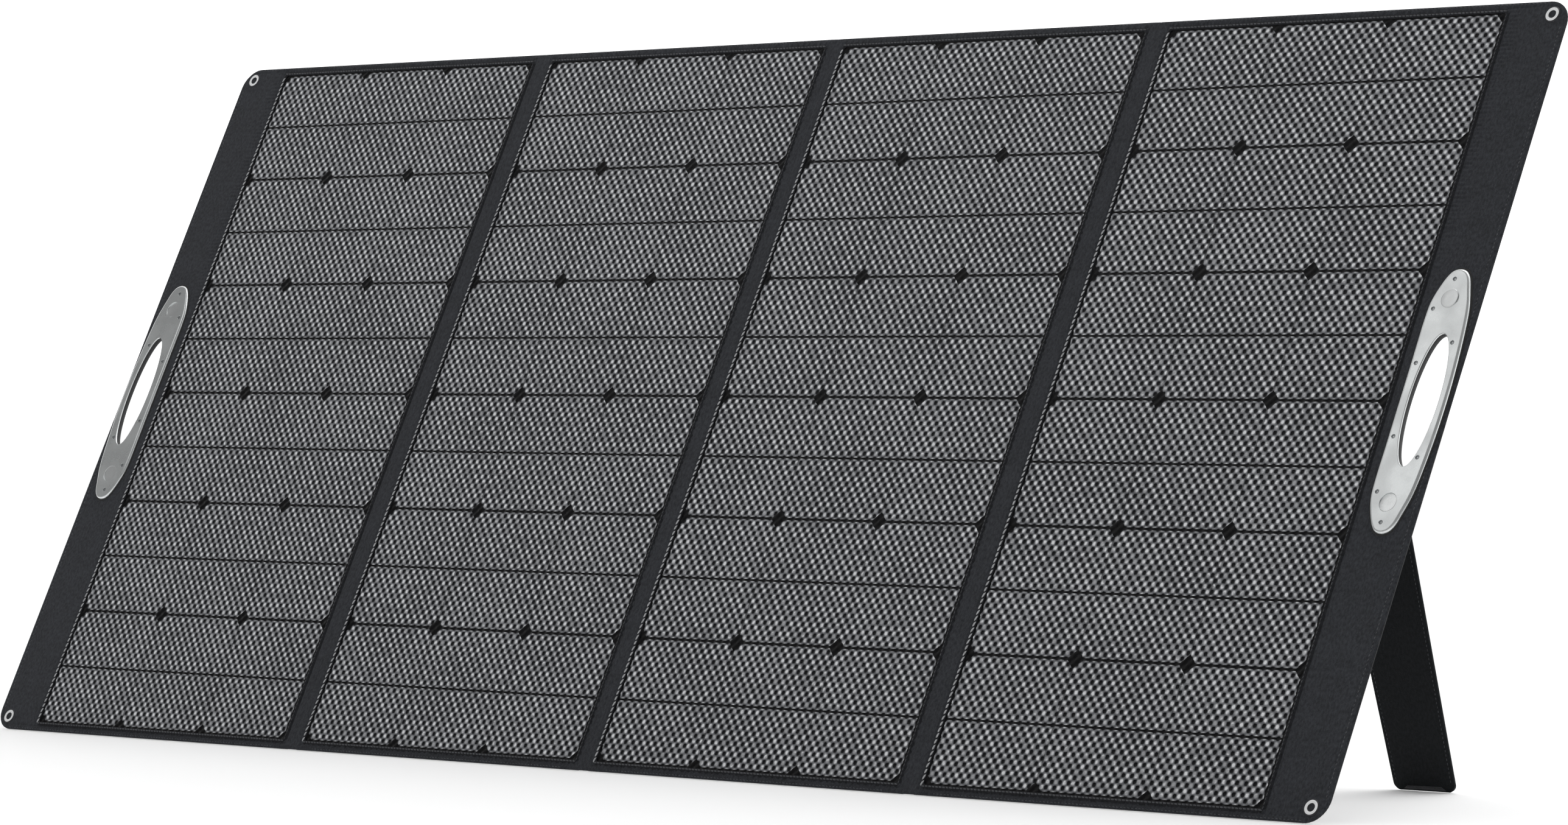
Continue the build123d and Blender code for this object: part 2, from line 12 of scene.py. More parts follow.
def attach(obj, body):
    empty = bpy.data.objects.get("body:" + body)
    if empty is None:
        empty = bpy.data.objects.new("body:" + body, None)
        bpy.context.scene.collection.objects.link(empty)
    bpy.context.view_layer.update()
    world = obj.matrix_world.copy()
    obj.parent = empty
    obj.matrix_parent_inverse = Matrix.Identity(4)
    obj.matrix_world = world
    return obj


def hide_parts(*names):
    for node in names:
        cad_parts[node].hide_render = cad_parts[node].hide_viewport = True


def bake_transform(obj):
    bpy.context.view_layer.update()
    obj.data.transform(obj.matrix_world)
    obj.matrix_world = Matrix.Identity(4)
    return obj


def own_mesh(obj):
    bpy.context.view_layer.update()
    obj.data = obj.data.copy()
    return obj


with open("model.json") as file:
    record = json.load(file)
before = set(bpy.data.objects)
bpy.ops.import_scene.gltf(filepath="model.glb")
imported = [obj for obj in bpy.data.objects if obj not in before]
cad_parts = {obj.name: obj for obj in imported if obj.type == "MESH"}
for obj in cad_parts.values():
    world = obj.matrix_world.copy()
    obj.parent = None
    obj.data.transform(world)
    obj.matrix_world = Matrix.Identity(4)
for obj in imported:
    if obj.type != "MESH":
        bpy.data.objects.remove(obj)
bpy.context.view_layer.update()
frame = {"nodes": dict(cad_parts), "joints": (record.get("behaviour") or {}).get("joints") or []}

# The visible folding solar panel. Pieces are drawn in the panel's own upright frame, in
# metres: X along the panel, Y from the front of the fabric towards the back, Z up the panel
# from its bottom edge. TO_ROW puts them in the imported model's frame.

# ---- driving sizes, the same as the CAD model's ----
MM = 0.001
PANEL_HEIGHT = 1037.6 * MM
HALF_LENGTH = 1165.6 * MM
MIDDLE_Z = PANEL_HEIGHT / 2
FOLD_X = 546.5 * MM
INNER_CENTRE = 272.0 * MM
OUTER_CENTRE = 821.0 * MM
FLEX_HALF = 9.0 * MM
FOLD_LAP = 0.5 * MM
CORNER_RADIUS = 30.0 * MM
MIDDLE_AXIS_Y = 12.0 * MM

BORDER_FRONT = 0.8 * MM
FILM_FRONT = 1.1 * MM
LAMINATE_BACK = 2.0 * MM
COVER_BACK = 5.0 * MM
STRIP_BACK = 2.8 * MM
WINDOW_HALF_WIDTH = 254.0 * MM
WINDOW_HALF_HEIGHT = 506.0 * MM
WINDOW_LAP = 3.0 * MM
WINDOW_CORNER = 4.0 * MM
LIP_ROLL = 5.6 * MM

CELL_PITCH = 168.5 * MM
COLUMNS = 3
ROWS = 6
CELL_CORNER = 11.5 * MM

HANDLE_X = 1127.3 * MM
PLATE_FRONT = -3.2 * MM
PLATE_REAR = COVER_BACK + 1.2 * MM
SLOT_HALF_WIDTH = 21.6 * MM
SLOT_HALF_HEIGHT = 83.7 * MM
SLOT_OFFSET = 1.5 * MM
SLOT_SIDES = 120
SLEEVE_WALL = 1.6 * MM
SCREW_PLACES = [(-5.8, 154.0), (-24.0, 116.0), (17.9, 72.5), (-24.8, 46.5)]
SCREW_SEAT = 2.9 * MM
SCREW_SINK = 1.1 * MM
MAGNET_PLACE = (-4.3, 129.0)
MAGNET_SEAT = 12.0 * MM
MAGNET_SINK = 2.4 * MM
SEAT_SIDES = 48
FLAT_BAND = 0.3 * MM
HANDLE_WEB = 45.0 * MM

GROMMET_X = 1143.0 * MM
GROMMET_Z = 500.7 * MM
EYELET_SIDES = 40
# Rings of the eyelet profile whose faces take painted shade.
SHADE_RINGS = (0, 1, 2, 3, 9, 10, 11, 12, 13, 14)

HINGE_HEIGHT = 628.0 * MM
HINGE_BACK = 7.0 * MM
LEG_LENGTH = 588.0 * MM
LEG_FOOT = HINGE_HEIGHT - LEG_LENGTH
LEG_TOP = HINGE_HEIGHT - 1.0 * MM
LEG_HINGE_WIDTH = 113.0 * MM
LEG_FOOT_WIDTH = 91.0 * MM
LEG_THICK = 4.0 * MM
LEG_CORNER = 12.0 * MM
LEG_SEAM = 5.0 * MM
LEG_OFFSET = 133.0 * MM
STRAP_REACH = 230.0 * MM
STRAP_END = HINGE_HEIGHT - STRAP_REACH
STRAP_WIDTH = 20.0 * MM
STRAP_SAG = 3.0 * MM
PATCH_Z = HINGE_HEIGHT - 500.0 * MM

# ---- the embossed film and the sewing ----
DIMPLE_X = 12.8 * MM
DIMPLE_Z = CELL_PITCH / 12
DIMPLE_STEPS = 4
DIMPLE_DEPTH = 0.4 * MM
STITCH_PITCH = 5.5 * MM
STITCH_LENGTH = 4.0 * MM
STITCH_RADIUS = 0.42 * MM
SEAM_INSET = 6.6 * MM
RIB_PITCH = 5.6 * MM
RIB_DEPTH = 0.5 * MM
RIB_REACH = 26 * MM
RIB_START = 550 * MM
RIB_RISE = 200 * MM
BACK_HEM = 9.0 * MM

FILM_BLACK = (0.0015, 0.0015, 0.002)
# Painted shade in the film's recessed pits.
FILM_PIT_SHADE = (0.002, 0.002, 0.003)
FILM_GREY_LOW = (0.128, 0.132, 0.142)
FILM_GREY_HIGH = (0.185, 0.19, 0.202)
# Painted highlight on the film's raised bumps.
FILM_GLINT_HIGHLIGHT = (0.82, 0.83, 0.85)
WHITE = (1.0, 1.0, 1.0)

# ---- the studio ----
FRONT_WORLD = 0.3
BACK_WORLD = 1.5
FLOOR_REACH = 30.0

SECTIONS = {
    "a": {"centre": -OUTER_CENTRE, "left": -HALF_LENGTH, "right": -FOLD_X - FLEX_HALF, "handle": -1},
    "b": {"centre": -INNER_CENTRE, "left": -FOLD_X + FLEX_HALF, "right": -FLEX_HALF, "handle": 0},
    "c": {"centre": INNER_CENTRE, "left": FLEX_HALF, "right": FOLD_X - FLEX_HALF, "handle": 0},
    "d": {"centre": OUTER_CENTRE, "left": FOLD_X + FLEX_HALF, "right": HALF_LENGTH, "handle": 1},
}
LEG_SIDE = {"a": -1, "b": -1, "c": 1, "d": 1}

JOINTS = {joint["name"]: joint for joint in frame["joints"]}
UP = Vector(JOINTS["fold_bc"]["axis"]).normalized()
RIGHT = Vector((1, 0, 0))
BACK = UP.cross(RIGHT)
ORIGIN = Vector(JOINTS["fold_bc"]["pos_m"]) - MIDDLE_AXIS_Y * BACK - MIDDLE_Z * UP
TO_ROW = Matrix.Translation(ORIGIN) @ Matrix((RIGHT, BACK, UP)).transposed().to_4x4()
LEG_OPEN = math.radians(JOINTS["leg_a_hinge"]["range_deg"][1])
ALONG_LEG = np.array([math.sin(LEG_OPEN), -math.cos(LEG_OPEN)])
OFF_LEG = np.array([math.cos(LEG_OPEN), math.sin(LEG_OPEN)])

rng = random.Random(7)


# ---- mesh helpers ----
def to_row(points):
    """Points of the panel's upright frame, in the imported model's frame."""
    turn = np.array(TO_ROW, float)
    return np.asarray(points, float) @ turn[:3, :3].T + turn[:3, 3]


def open_leg(points):
    """Points of a closed leg, swung out to where the leg stands at rest."""
    moved = np.array(points, float)
    y = moved[:, 1] - HINGE_BACK
    z = moved[:, 2] - HINGE_HEIGHT
    moved[:, 1] = HINGE_BACK + y * math.cos(LEG_OPEN) - z * math.sin(LEG_OPEN)
    moved[:, 2] = HINGE_HEIGHT + y * math.sin(LEG_OPEN) + z * math.cos(LEG_OPEN)
    return moved


def link(name, data):
    """A new object in the scene."""
    made = bpy.data.objects.new(name, data)
    bpy.context.scene.collection.objects.link(made)
    return made


def add_map(mesh, name, places):
    """A map that gives each point of a mesh a place."""
    layer = mesh.uv_layers.new(name=name)
    corners = np.zeros(len(mesh.loops), np.int32)
    mesh.loops.foreach_get("vertex_index", corners)
    layer.data.foreach_set("uv", places[corners].astype(np.float32).ravel())


def make_piece(name, points, faces, material, uv=None, smooth=True):
    """A mesh object from upright points, with its map in metres."""
    points = np.asarray(points, float)
    mesh = bpy.data.meshes.new(name)
    mesh.from_pydata(to_row(points).tolist(), [], [list(map(int, face)) for face in faces])
    add_map(mesh, "metric", points[:, [0, 2]] if uv is None else uv)
    mesh.polygons.foreach_set("use_smooth", [smooth] * len(mesh.polygons))
    mesh.materials.append(material)
    mesh.validate()
    mesh.update()
    return link(name, mesh)


def crisp(piece, angle):
    """Crisp edges above an angle in degrees."""
    piece.data.set_sharp_from_angle(angle=math.radians(angle))


def add_piece(name, points, faces, material, body, slot, *nodes, uv=None, sharp=180, smooth=True):
    """A piece that rides on a body and stands for CAD nodes; its slot argument is not used."""
    piece = make_piece(name, points, faces, material, uv, smooth)
    if sharp < 180:
        crisp(piece, sharp)
    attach(piece, body)
    if nodes:
        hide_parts(*nodes)
    return piece


def weld(piece, sharp, distance=0.01 * MM):
    """Join points that lie on each other, then mark the crisp edges."""
    work = bmesh.new()
    work.from_mesh(piece.data)
    bmesh.ops.remove_doubles(work, verts=work.verts, dist=distance)
    bmesh.ops.recalc_face_normals(work, faces=work.faces)
    work.to_mesh(piece.data)
    work.free()
    crisp(piece, sharp)


class Pile:
    """Collects many small closed shapes into one mesh."""

    def __init__(self):
        self.points = []
        self.faces = []
        self.count = 0

    def add(self, points, faces):
        self.points.append(np.asarray(points, float))
        self.faces += [[index + self.count for index in face] for face in faces]
        self.count += len(points)

    def mesh(self, shift=0.0):
        """Every point, moved along X, and every face."""
        return np.concatenate(self.points) + np.array([shift, 0.0, 0.0]), self.faces


def flipped(faces):
    """The same faces, looking the other way."""
    return [face[::-1] for face in faces]


def boundary_edges(faces):
    """Directed edges that belong to one face only."""
    seen = set()
    for face in faces:
        for a, b in zip(face, face[1:] + face[:1]):
            seen.add((a, b))
    return [edge for edge in seen if (edge[1], edge[0]) not in seen]


def fill_outline(loops, inside, extra=()):
    """Triangles that fill X-Z loops, through extra points, where inside(x, z) is true."""
    points = []
    edges = []
    for loop in loops:
        first = len(points)
        points += [tuple(p) for p in loop]
        edges += [(first + i, first + (i + 1) % len(loop)) for i in range(len(loop))]
    points += [tuple(p) for p in extra]
    found = delaunay_2d_cdt([Vector(p) for p in points], edges, [], 0, 1e-7)
    flat = np.array([tuple(v) for v in found[0]])
    kept = []
    for face in found[2]:
        corners = flat[list(face)]
        centre = corners.mean(axis=0)
        if not inside(centre[0], centre[1]):
            continue
        (ax, az), (bx, bz), (cx, cz) = corners
        turn = (bx - ax) * (cz - az) - (bz - az) * (cx - ax)
        kept.append(list(face) if turn > 0 else list(face)[::-1])
    used = sorted({index for face in kept for index in face})
    renumber = {old: new for new, old in enumerate(used)}
    return flat[used], [[renumber[index] for index in face] for face in kept]


def at_depth(flat, y):
    """X-Z points as 3-D points, at one depth or a depth each."""
    return np.c_[flat[:, 0], np.broadcast_to(y, len(flat)), flat[:, 1]]


def closed_shell(front, back, faces):
    """Closed solid between two layers of points that share one set of faces."""
    count = len(front)
    walls = [(b, a, a + count, b + count) for a, b in boundary_edges(faces)]
    backs = [[index + count for index in reversed(face)] for face in faces]
    return np.concatenate([front, back]), list(faces) + backs + walls


def thick_plate(flat, faces, front, back):
    """Closed solid between a front and a back depth over one triangulation."""
    return closed_shell(at_depth(flat, front), at_depth(flat, back), faces)


def grid_quads(width, height):
    """Faces of a grid of points, row by row."""
    return [
        [base + k, base + k + 1, base + k + 1 + width, base + k + width]
        for base in range(0, (height - 1) * width, width)
        for k in range(width - 1)
    ]


def ring_wall(rows, closed_profile=False, flip=False):
    """Points and faces of a wall through rings of equal point counts."""
    count = len(rows[0])
    faces = []
    last = len(rows) if closed_profile else len(rows) - 1
    for row in range(last):
        upper = (row + 1) % len(rows)
        for k in range(count):
            other = (k + 1) % count
            faces.append((row * count + k, row * count + other, upper * count + other, upper * count + k))
    return np.concatenate(rows), flipped(faces) if flip else faces


def run_along(points):
    """Length run so far at each point of a path."""
    return np.concatenate([[0], np.cumsum(np.linalg.norm(np.diff(points, axis=0), axis=1))])


def strip_solid(path, half_widths, thickness, across_steps=8, centre=0.0):
    """A flat band along a Y-Z path, of one half width or one for each point."""
    path = np.array(path, float)
    tangent = np.gradient(path, axis=0)
    tangent /= np.linalg.norm(tangent, axis=1)[:, None]
    normal = np.c_[tangent[:, 1], -tangent[:, 0]]
    halves = np.broadcast_to(half_widths, len(path))
    shares = np.linspace(-1, 1, across_steps + 1)
    layers = []
    uv = []
    for sign in (1, -1):
        for place, direction, half, distance in zip(path, normal, halves, run_along(path)):
            for share in shares:
                rounding = 1 - 0.5 * max(0.0, abs(share) - 0.9) / 0.1
                offset = direction * sign * thickness / 2 * rounding
                layers.append((share * half + centre, place[0] + offset[0], place[1] + offset[1]))
                uv.append((share * half, distance))
    count = len(path) * len(shares)
    layers = np.array(layers)
    points, faces = closed_shell(layers[:count], layers[count:], grid_quads(len(shares), len(path)))
    return points, faces, np.array(uv)


def rounded_rectangle(left, right, bottom, top, radii, step=6 * MM):
    """A loop of X-Z points; radii go bottom-left, bottom-right, top-right, top-left."""
    corners = [(left, bottom, 180), (right, bottom, 270), (right, top, 0), (left, top, 90)]
    inward = [(1, 1), (-1, 1), (-1, -1), (1, -1)]
    steps = 10
    loop = []
    for (x, z, start), (sx, sz), radius in zip(corners, inward, np.broadcast_to(radii, 4)):
        if radius <= 0:
            loop.append((x, z))
            continue
        for i in range(steps + 1):
            angle = math.radians(start + 90 * i / steps)
            centre_x, centre_z = x + sx * radius, z + sz * radius
            loop.append((centre_x + radius * math.cos(angle), centre_z + radius * math.sin(angle)))
    dense = []
    for (ax, az), (bx, bz) in zip(loop, loop[1:] + loop[:1]):
        pieces = max(1, int(math.hypot(bx - ax, bz - az) / step))
        dense += [(ax + (bx - ax) * i / pieces, az + (bz - az) * i / pieces) for i in range(pieces)]
    return dense


def ellipse_loop(x, z, half_width, half_height, steps=72):
    """A loop of points round an ellipse."""
    angles = [2 * math.pi * i / steps for i in range(steps)]
    return [(x + half_width * math.cos(a), z + half_height * math.sin(a)) for a in angles]


def point_in_ring(ring, x, z):
    """True where a point lies inside a closed ring."""
    ahead = np.roll(ring, -1, axis=0)
    crosses = (ring[:, 1] > z) != (ahead[:, 1] > z)
    with np.errstate(divide="ignore", invalid="ignore"):
        at = ring[:, 0] + (z - ring[:, 1]) * (ahead[:, 0] - ring[:, 0]) / (ahead[:, 1] - ring[:, 1])
    return bool(np.count_nonzero(crosses & (x < at)) % 2)


def box_distance(x, z, left, right, bottom, top, radius=0.0):
    """Signed distance to a rounded X-Z rectangle, negative inside."""
    qx = np.abs(x - (left + right) / 2) - (right - left) / 2 + radius
    qz = np.abs(z - (bottom + top) / 2) - (top - bottom) / 2 + radius
    outside = np.hypot(np.maximum(qx, 0), np.maximum(qz, 0))
    return np.minimum(np.maximum(qx, qz), 0) + outside - radius


def round_over(distance, radius):
    """How far an edge of that radius falls back at a distance inside the outline."""
    share = np.clip(1 - distance / radius, 0, 1)
    return radius * (1 - np.sqrt(1 - share * share))


def ridge(distance, height, reach):
    """A soft ridge or groove that fades with distance."""
    return height * np.exp(-((distance / reach) ** 2))


def waves(x, z, seed, size):
    """Gentle, repeatable unevenness between -1 and 1."""
    source = np.random.default_rng(seed)
    total = np.zeros_like(np.asarray(x, float))
    for _ in range(6):
        angle, phase = source.uniform(0, 2 * math.pi, 2)
        stretch = source.uniform(0.6, 1.6)
        reach = x * math.cos(angle) + z * math.sin(angle)
        total += np.sin(reach * 2 * math.pi / (size * stretch) + phase)
    return total / 6


# ---- outlines of a section ----
def outer_distance(section, x, z):
    """Signed distance to the panel's own outline, round at a handle end, open at the folds."""
    side = section["handle"]
    radius = CORNER_RADIUS if side else 0.0
    left = section["left"] - (0.0 if side < 0 else 1.0)
    right = section["right"] + (0.0 if side > 0 else 1.0)
    return box_distance(x, z, left, right, 0.0, PANEL_HEIGHT, radius)


def section_distance(section, x, z):
    """Signed distance to a section's outline, its fold edges too."""
    folds = np.maximum(section["left"] - x, x - section["right"])
    return np.maximum(outer_distance(section, x, z), folds)


def section_loop(section, inset=0.0):
    """The outline of a section as X-Z points, or a line parallel to it inside."""
    left_radius = CORNER_RADIUS if section["handle"] < 0 else 0.0
    right_radius = CORNER_RADIUS if section["handle"] > 0 else 0.0
    radii = (left_radius, right_radius, right_radius, left_radius)
    left, right = section["left"] + inset, section["right"] - inset
    loop = rounded_rectangle(left, right, 0.0, PANEL_HEIGHT, radii)
    return [(x, min(max(z, inset), PANEL_HEIGHT - inset)) for x, z in loop]


def window_sides(section, grow):
    """Left, right, bottom and top of a section's window, grown by a margin."""
    half_width, half_height = WINDOW_HALF_WIDTH + grow, WINDOW_HALF_HEIGHT + grow
    centre = section["centre"]
    return centre - half_width, centre + half_width, MIDDLE_Z - half_height, MIDDLE_Z + half_height


def slot_place(side):
    """Centre of a hand slot in X-Z."""
    return side * (HANDLE_X + SLOT_OFFSET), MIDDLE_Z


def slot_loop(side, grow, steps=72):
    """A loop round a hand slot, grown by a margin."""
    return ellipse_loop(*slot_place(side), SLOT_HALF_WIDTH + grow, SLOT_HALF_HEIGHT + grow, steps)


def in_slot(side, x, z, grow):
    """True inside a hand slot grown by a margin."""
    centre_x, centre_z = slot_place(side)
    across = (x - centre_x) / (SLOT_HALF_WIDTH + grow)
    along = (z - centre_z) / (SLOT_HALF_HEIGHT + grow)
    return across * across + along * along < 1


def on_cloth(section, x, z):
    """True inside a section's outline and outside its hand slot."""
    side = section["handle"]
    if section_distance(section, x, z) > 0:
        return False
    return not (side and in_slot(side, x, z, SLEEVE_WALL))


def grid_between(left, right, bottom, top, step):
    """Interior points of a rectangle, evenly spaced."""
    columns = max(1, round((right - left) / step))
    rows = max(1, round((top - bottom) / step))
    return [
        (left + (right - left) * i / columns, bottom + (top - bottom) * j / rows)
        for i in range(1, columns)
        for j in range(1, rows)
    ]


# ---- materials ----
class Nodes:
    """A short way to write the nodes of a material or a world."""

    def __init__(self, data):
        data.use_nodes = True
        self.tree = data.node_tree

    def feed(self, socket, value):
        """Link a socket, or set it to numbers."""
        if isinstance(value, bpy.types.NodeSocket):
            self.tree.links.new(value, socket)
        else:
            socket.default_value = value

    def node(self, kind, settings=None, **inputs):
        """A node with settings, fed by input names."""
        made = self.tree.nodes.new(kind)
        for key, value in (settings or {}).items():
            setattr(made, key, value)
        for key, value in inputs.items():
            self.feed(made.inputs[key.replace("_", " ")], value)
        return made

    def listed(self, kind, settings, values):
        """A node with settings, fed in the order of its inputs."""
        made = self.node(kind, settings)
        for socket, value in zip(made.inputs, values):
            self.feed(socket, value)
        return made.outputs[0]

    def math(self, operation, a, b=0.0, c=0.0, clamp=False):
        """One sum."""
        return self.listed("ShaderNodeMath", {"operation": operation, "use_clamp": clamp}, (a, b, c))

    def span(self, value, low, high, to_low=0.0, to_high=1.0):
        """Map a value smoothly from one span to another, clamped."""
        settings = {"interpolation_type": "SMOOTHSTEP"}
        return self.listed("ShaderNodeMapRange", settings, (value, low, high, to_low, to_high))

    def scaled(self, vector, scale):
        """A map stretched along its axes."""
        mapping = self.node("ShaderNodeMapping", Vector=vector)
        mapping.inputs["Scale"].default_value = scale
        return mapping.outputs[0]

    def flat_map(self, scale=1.0, squeeze=1.0):
        """The metric map, scaled to units of its own."""
        source = self.node("ShaderNodeUVMap", {"uv_map": "metric"}).outputs[0]
        return self.scaled(source, (scale, scale * squeeze, scale))

    def object_map(self):
        """Places in the object's own axes."""
        return self.node("ShaderNodeTexCoord").outputs["Object"]

    def axes(self, vector):
        """The parts of a vector."""
        return self.node("ShaderNodeSeparateXYZ", Vector=vector).outputs

    def noise(self, vector, scale, detail=3.0):
        """Soft noise at a scale."""
        made = self.node("ShaderNodeTexNoise", Vector=vector, Scale=scale, Detail=detail, Roughness=0.55)
        return made.outputs[0]

    def blend(self, share, low, high):
        """Mix two colours, each a socket or three numbers."""
        made = self.node("ShaderNodeMix", {"data_type": "RGBA"})
        for index, value in ((0, share), (6, low), (7, high)):
            self.feed(made.inputs[index], (*value, 1.0) if isinstance(value, tuple) else value)
        return made.outputs[2]


class Finish(Nodes):
    """A procedural material."""

    def __init__(self, name, color, roughness, metallic=0.0, **constants):
        self.material = bpy.data.materials.new(name)
        super().__init__(self.material)
        self.shader = self.tree.nodes["Principled BSDF"]
        self.shader.inputs["Base Color"].default_value = (*color, 1.0)
        self.shader.inputs["Roughness"].default_value = roughness
        self.shader.inputs["Metallic"].default_value = metallic
        for key, value in constants.items():
            self.shader.inputs[key.replace("_", " ")].default_value = value

    def color(self, value):
        """Set the base colour."""
        self.feed(self.shader.inputs["Base Color"], value)

    def roughness(self, value):
        """Set the roughness."""
        self.feed(self.shader.inputs["Roughness"], value)

    def bump(self, height, strength, distance):
        """Fine relief in the shading alone."""
        made = self.node("ShaderNodeBump", Height=height, Strength=strength, Distance=distance)
        self.tree.links.new(made.outputs[0], self.shader.inputs["Normal"])


def woven(name, dark, light, thread, strength=0.5, fuzz=0.06):
    """Plain-weave cloth: over-and-under threads, mottling and a little fuzz."""
    finish = Finish(name, dark, 0.88, Sheen_Weight=fuzz, Sheen_Roughness=0.5, Specular_IOR_Level=0.12)
    place = finish.axes(finish.flat_map(2 * math.pi / thread))
    warp = finish.math("SINE", place[0])
    weft = finish.math("SINE", place[1])
    over = finish.math("MULTIPLY", warp, weft)
    fine = finish.noise(finish.flat_map(), 900.0, 2.0)
    slub = finish.noise(finish.flat_map(squeeze=0.6), 330.0, 2.0)
    broad = finish.noise(finish.flat_map(), 45.0, 4.0)
    speckle = finish.math("MULTIPLY_ADD", fine, 0.4, finish.math("MULTIPLY", broad, 0.3))
    speckle = finish.math("MULTIPLY_ADD", slub, 0.6, speckle)
    share = finish.span(finish.math("MULTIPLY_ADD", over, 0.1, speckle), 0.42, 0.86)
    finish.color(finish.blend(share, dark, light))
    finish.roughness(finish.span(broad, 0.3, 0.7, 0.8, 0.95))
    finish.bump(finish.math("MULTIPLY_ADD", fine, 0.8, over), strength, 0.00025)
    return finish.material


def cell_gaps(finish, across, along):
    """Share of black: between cells, at their cut corners and round the whole block."""

    def from_middle(value):
        """Distance from the middle of a cell, in cells."""
        share = finish.math("FRACT", value)
        return finish.math("ABSOLUTE", finish.math("SUBTRACT", share, 0.5))

    def beyond(value, count):
        """Positive outside the block of cells."""
        centred = finish.math("ABSOLUTE", finish.math("SUBTRACT", value, count / 2))
        return finish.math("SUBTRACT", centred, count / 2)

    soft = 0.3 * MM / CELL_PITCH
    half_gap = 1.25 * MM / CELL_PITCH
    row_half, cut_half = 1.4 * half_gap, 1.05 * half_gap
    side = from_middle(across)
    height = from_middle(along)
    row_gap = finish.span(height, 0.5 - row_half - soft, 0.5 - row_half + soft)
    column_gap = finish.span(side, 0.5 - half_gap - soft, 0.5 - half_gap + soft, 0.0, 0.5)
    half_cut = finish.span(height, cut_half + soft, cut_half)
    corner_reach = 1.0 - (CELL_CORNER + half_gap * CELL_PITCH) / CELL_PITCH
    corner = finish.span(finish.math("ADD", side, height), corner_reach - soft, corner_reach + soft)
    edge = finish.math("MAXIMUM", beyond(across, COLUMNS), beyond(along, ROWS))
    block = finish.span(edge, -half_gap - soft, -half_gap + soft)
    black = row_gap
    for share in (column_gap, half_cut, corner, block):
        black = finish.math("MAXIMUM", black, share, clamp=True)
    return black


def embossed_film():
    """Front film over black half-cut cells: a checkerboard of pits darkened with painted shade and raised
    bumps with painted highlights.
    """
    finish = Finish("embossed_film", (0.1, 0.1, 0.1), 0.34, Specular_IOR_Level=0.12)
    cell = finish.axes(finish.node("ShaderNodeUVMap", {"uv_map": "cells"}).outputs[0])
    across, along = cell[0], cell[1]
    wobble = finish.node("ShaderNodeTexNoise", Vector=finish.flat_map(), Scale=210.0, Detail=1.0)
    waver = finish.axes(wobble.outputs[1])

    def seen(value, part, reach):
        """A place as it looks through the uneven film."""
        return finish.math("MULTIPLY_ADD", finish.math("SUBTRACT", part, 0.5), reach, value)

    def wave(value, size):
        """Waves of the relief's size along one direction."""
        return finish.math("COSINE", finish.math("MULTIPLY", value, 2 * math.pi * CELL_PITCH / size))

    reach = 3.2 * MM / CELL_PITCH
    seen_across = seen(across, waver[0], reach)
    seen_along = seen(along, waver[1], reach / 8)
    black = cell_gaps(finish, seen_across, seen_along)
    wave_x = wave(across, DIMPLE_X)
    wave_z = wave(along, DIMPLE_Z)
    relief = finish.math("MULTIPLY", wave_x, wave_z)
    place = finish.flat_map()
    speckle = finish.noise(place, 330.0)
    site = finish.noise(place, 95.0, 1.0)
    patchy = finish.noise(place, 9.0, 2.0)
    uneven = finish.math("MULTIPLY_ADD", speckle, 0.7, finish.math("SUBTRACT", relief, 0.35))
    # Painted shade: the recessed pits of the relief are darkened towards near black.
    pit_shade = finish.span(uneven, -0.02, 0.48)
    bump = finish.span(uneven, -0.02, -0.8)
    # Painted highlights: pale glints on random raised bumps, standing in for reflections of the light.
    glint = finish.math("MULTIPLY", bump, finish.span(site, 0.38, 0.6, 0.35, 1.0))
    ground = finish.blend(finish.span(patchy, 0.3, 0.7), FILM_GREY_LOW, FILM_GREY_HIGH)
    pale = finish.blend(glint, ground, FILM_GLINT_HIGHLIGHT)
    dark = finish.blend(pit_shade, pale, FILM_PIT_SHADE)
    finish.color(finish.blend(black, dark, FILM_BLACK))
    finish.roughness(finish.span(speckle, 0.3, 0.7, 0.27, 0.42))
    height = finish.math("MULTIPLY_ADD", speckle, 0.5, finish.math("MULTIPLY", relief, -1.0))
    finish.bump(height, 0.5, 0.0008)
    return finish.material


def satin_metal(name, color, roughness, scratch=0.15, metallic=1.0):
    """Blasted metal with faint scratches and handling marks."""
    finish = Finish(name, color, roughness, metallic)
    place = finish.object_map()
    grain = finish.noise(place, 1400.0, 2.0)
    lines = finish.noise(finish.scaled(place, (900.0, 900.0, 40.0)), 1.0)
    smudge = finish.noise(place, 22.0, 4.0)
    finish.roughness(finish.span(smudge, 0.3, 0.75, roughness - 0.05, roughness + 0.1))
    share = finish.math("MULTIPLY_ADD", lines, 0.5, finish.math("MULTIPLY", smudge, 0.5))
    worn = tuple(value * 0.92 for value in color)
    finish.color(finish.blend(finish.span(share, 0.35, 0.7), worn, color))
    finish.bump(finish.math("ADD", grain, lines), scratch, 0.0001)
    return finish.material


def moulded(name, color, roughness, scale=700.0, strength=0.25):
    """Moulded plastic or rubber with a fine spark-eroded grain."""
    finish = Finish(name, color, roughness)
    place = finish.object_map()
    grain = finish.noise(place, scale)
    dust = finish.noise(place, 30.0, 5.0)
    light = tuple(value * 1.5 + 0.004 for value in color)
    finish.color(finish.blend(finish.span(dust, 0.4, 0.75), color, light))
    finish.roughness(finish.span(dust, 0.3, 0.7, roughness - 0.06, roughness + 0.08))
    finish.bump(grain, strength, 0.0002)
    return finish.material


def webbing_finish():
    """Ribbed flat webbing."""
    finish = Finish("webbing", (0.018, 0.018, 0.02), 0.8, Sheen_Weight=0.06, Sheen_Roughness=0.5)
    place = finish.axes(finish.flat_map(2 * math.pi / (1.6 * MM)))
    rib = finish.math("SINE", place[1])
    across = finish.math("SINE", finish.math("MULTIPLY", place[0], 0.5))
    twill = finish.math("MULTIPLY_ADD", across, 0.5, rib)
    finish.color(finish.blend(finish.span(twill, -1.2, 1.2), (0.01, 0.01, 0.012), (0.045, 0.045, 0.05)))
    finish.bump(twill, 0.7, 0.0003)
    return finish.material


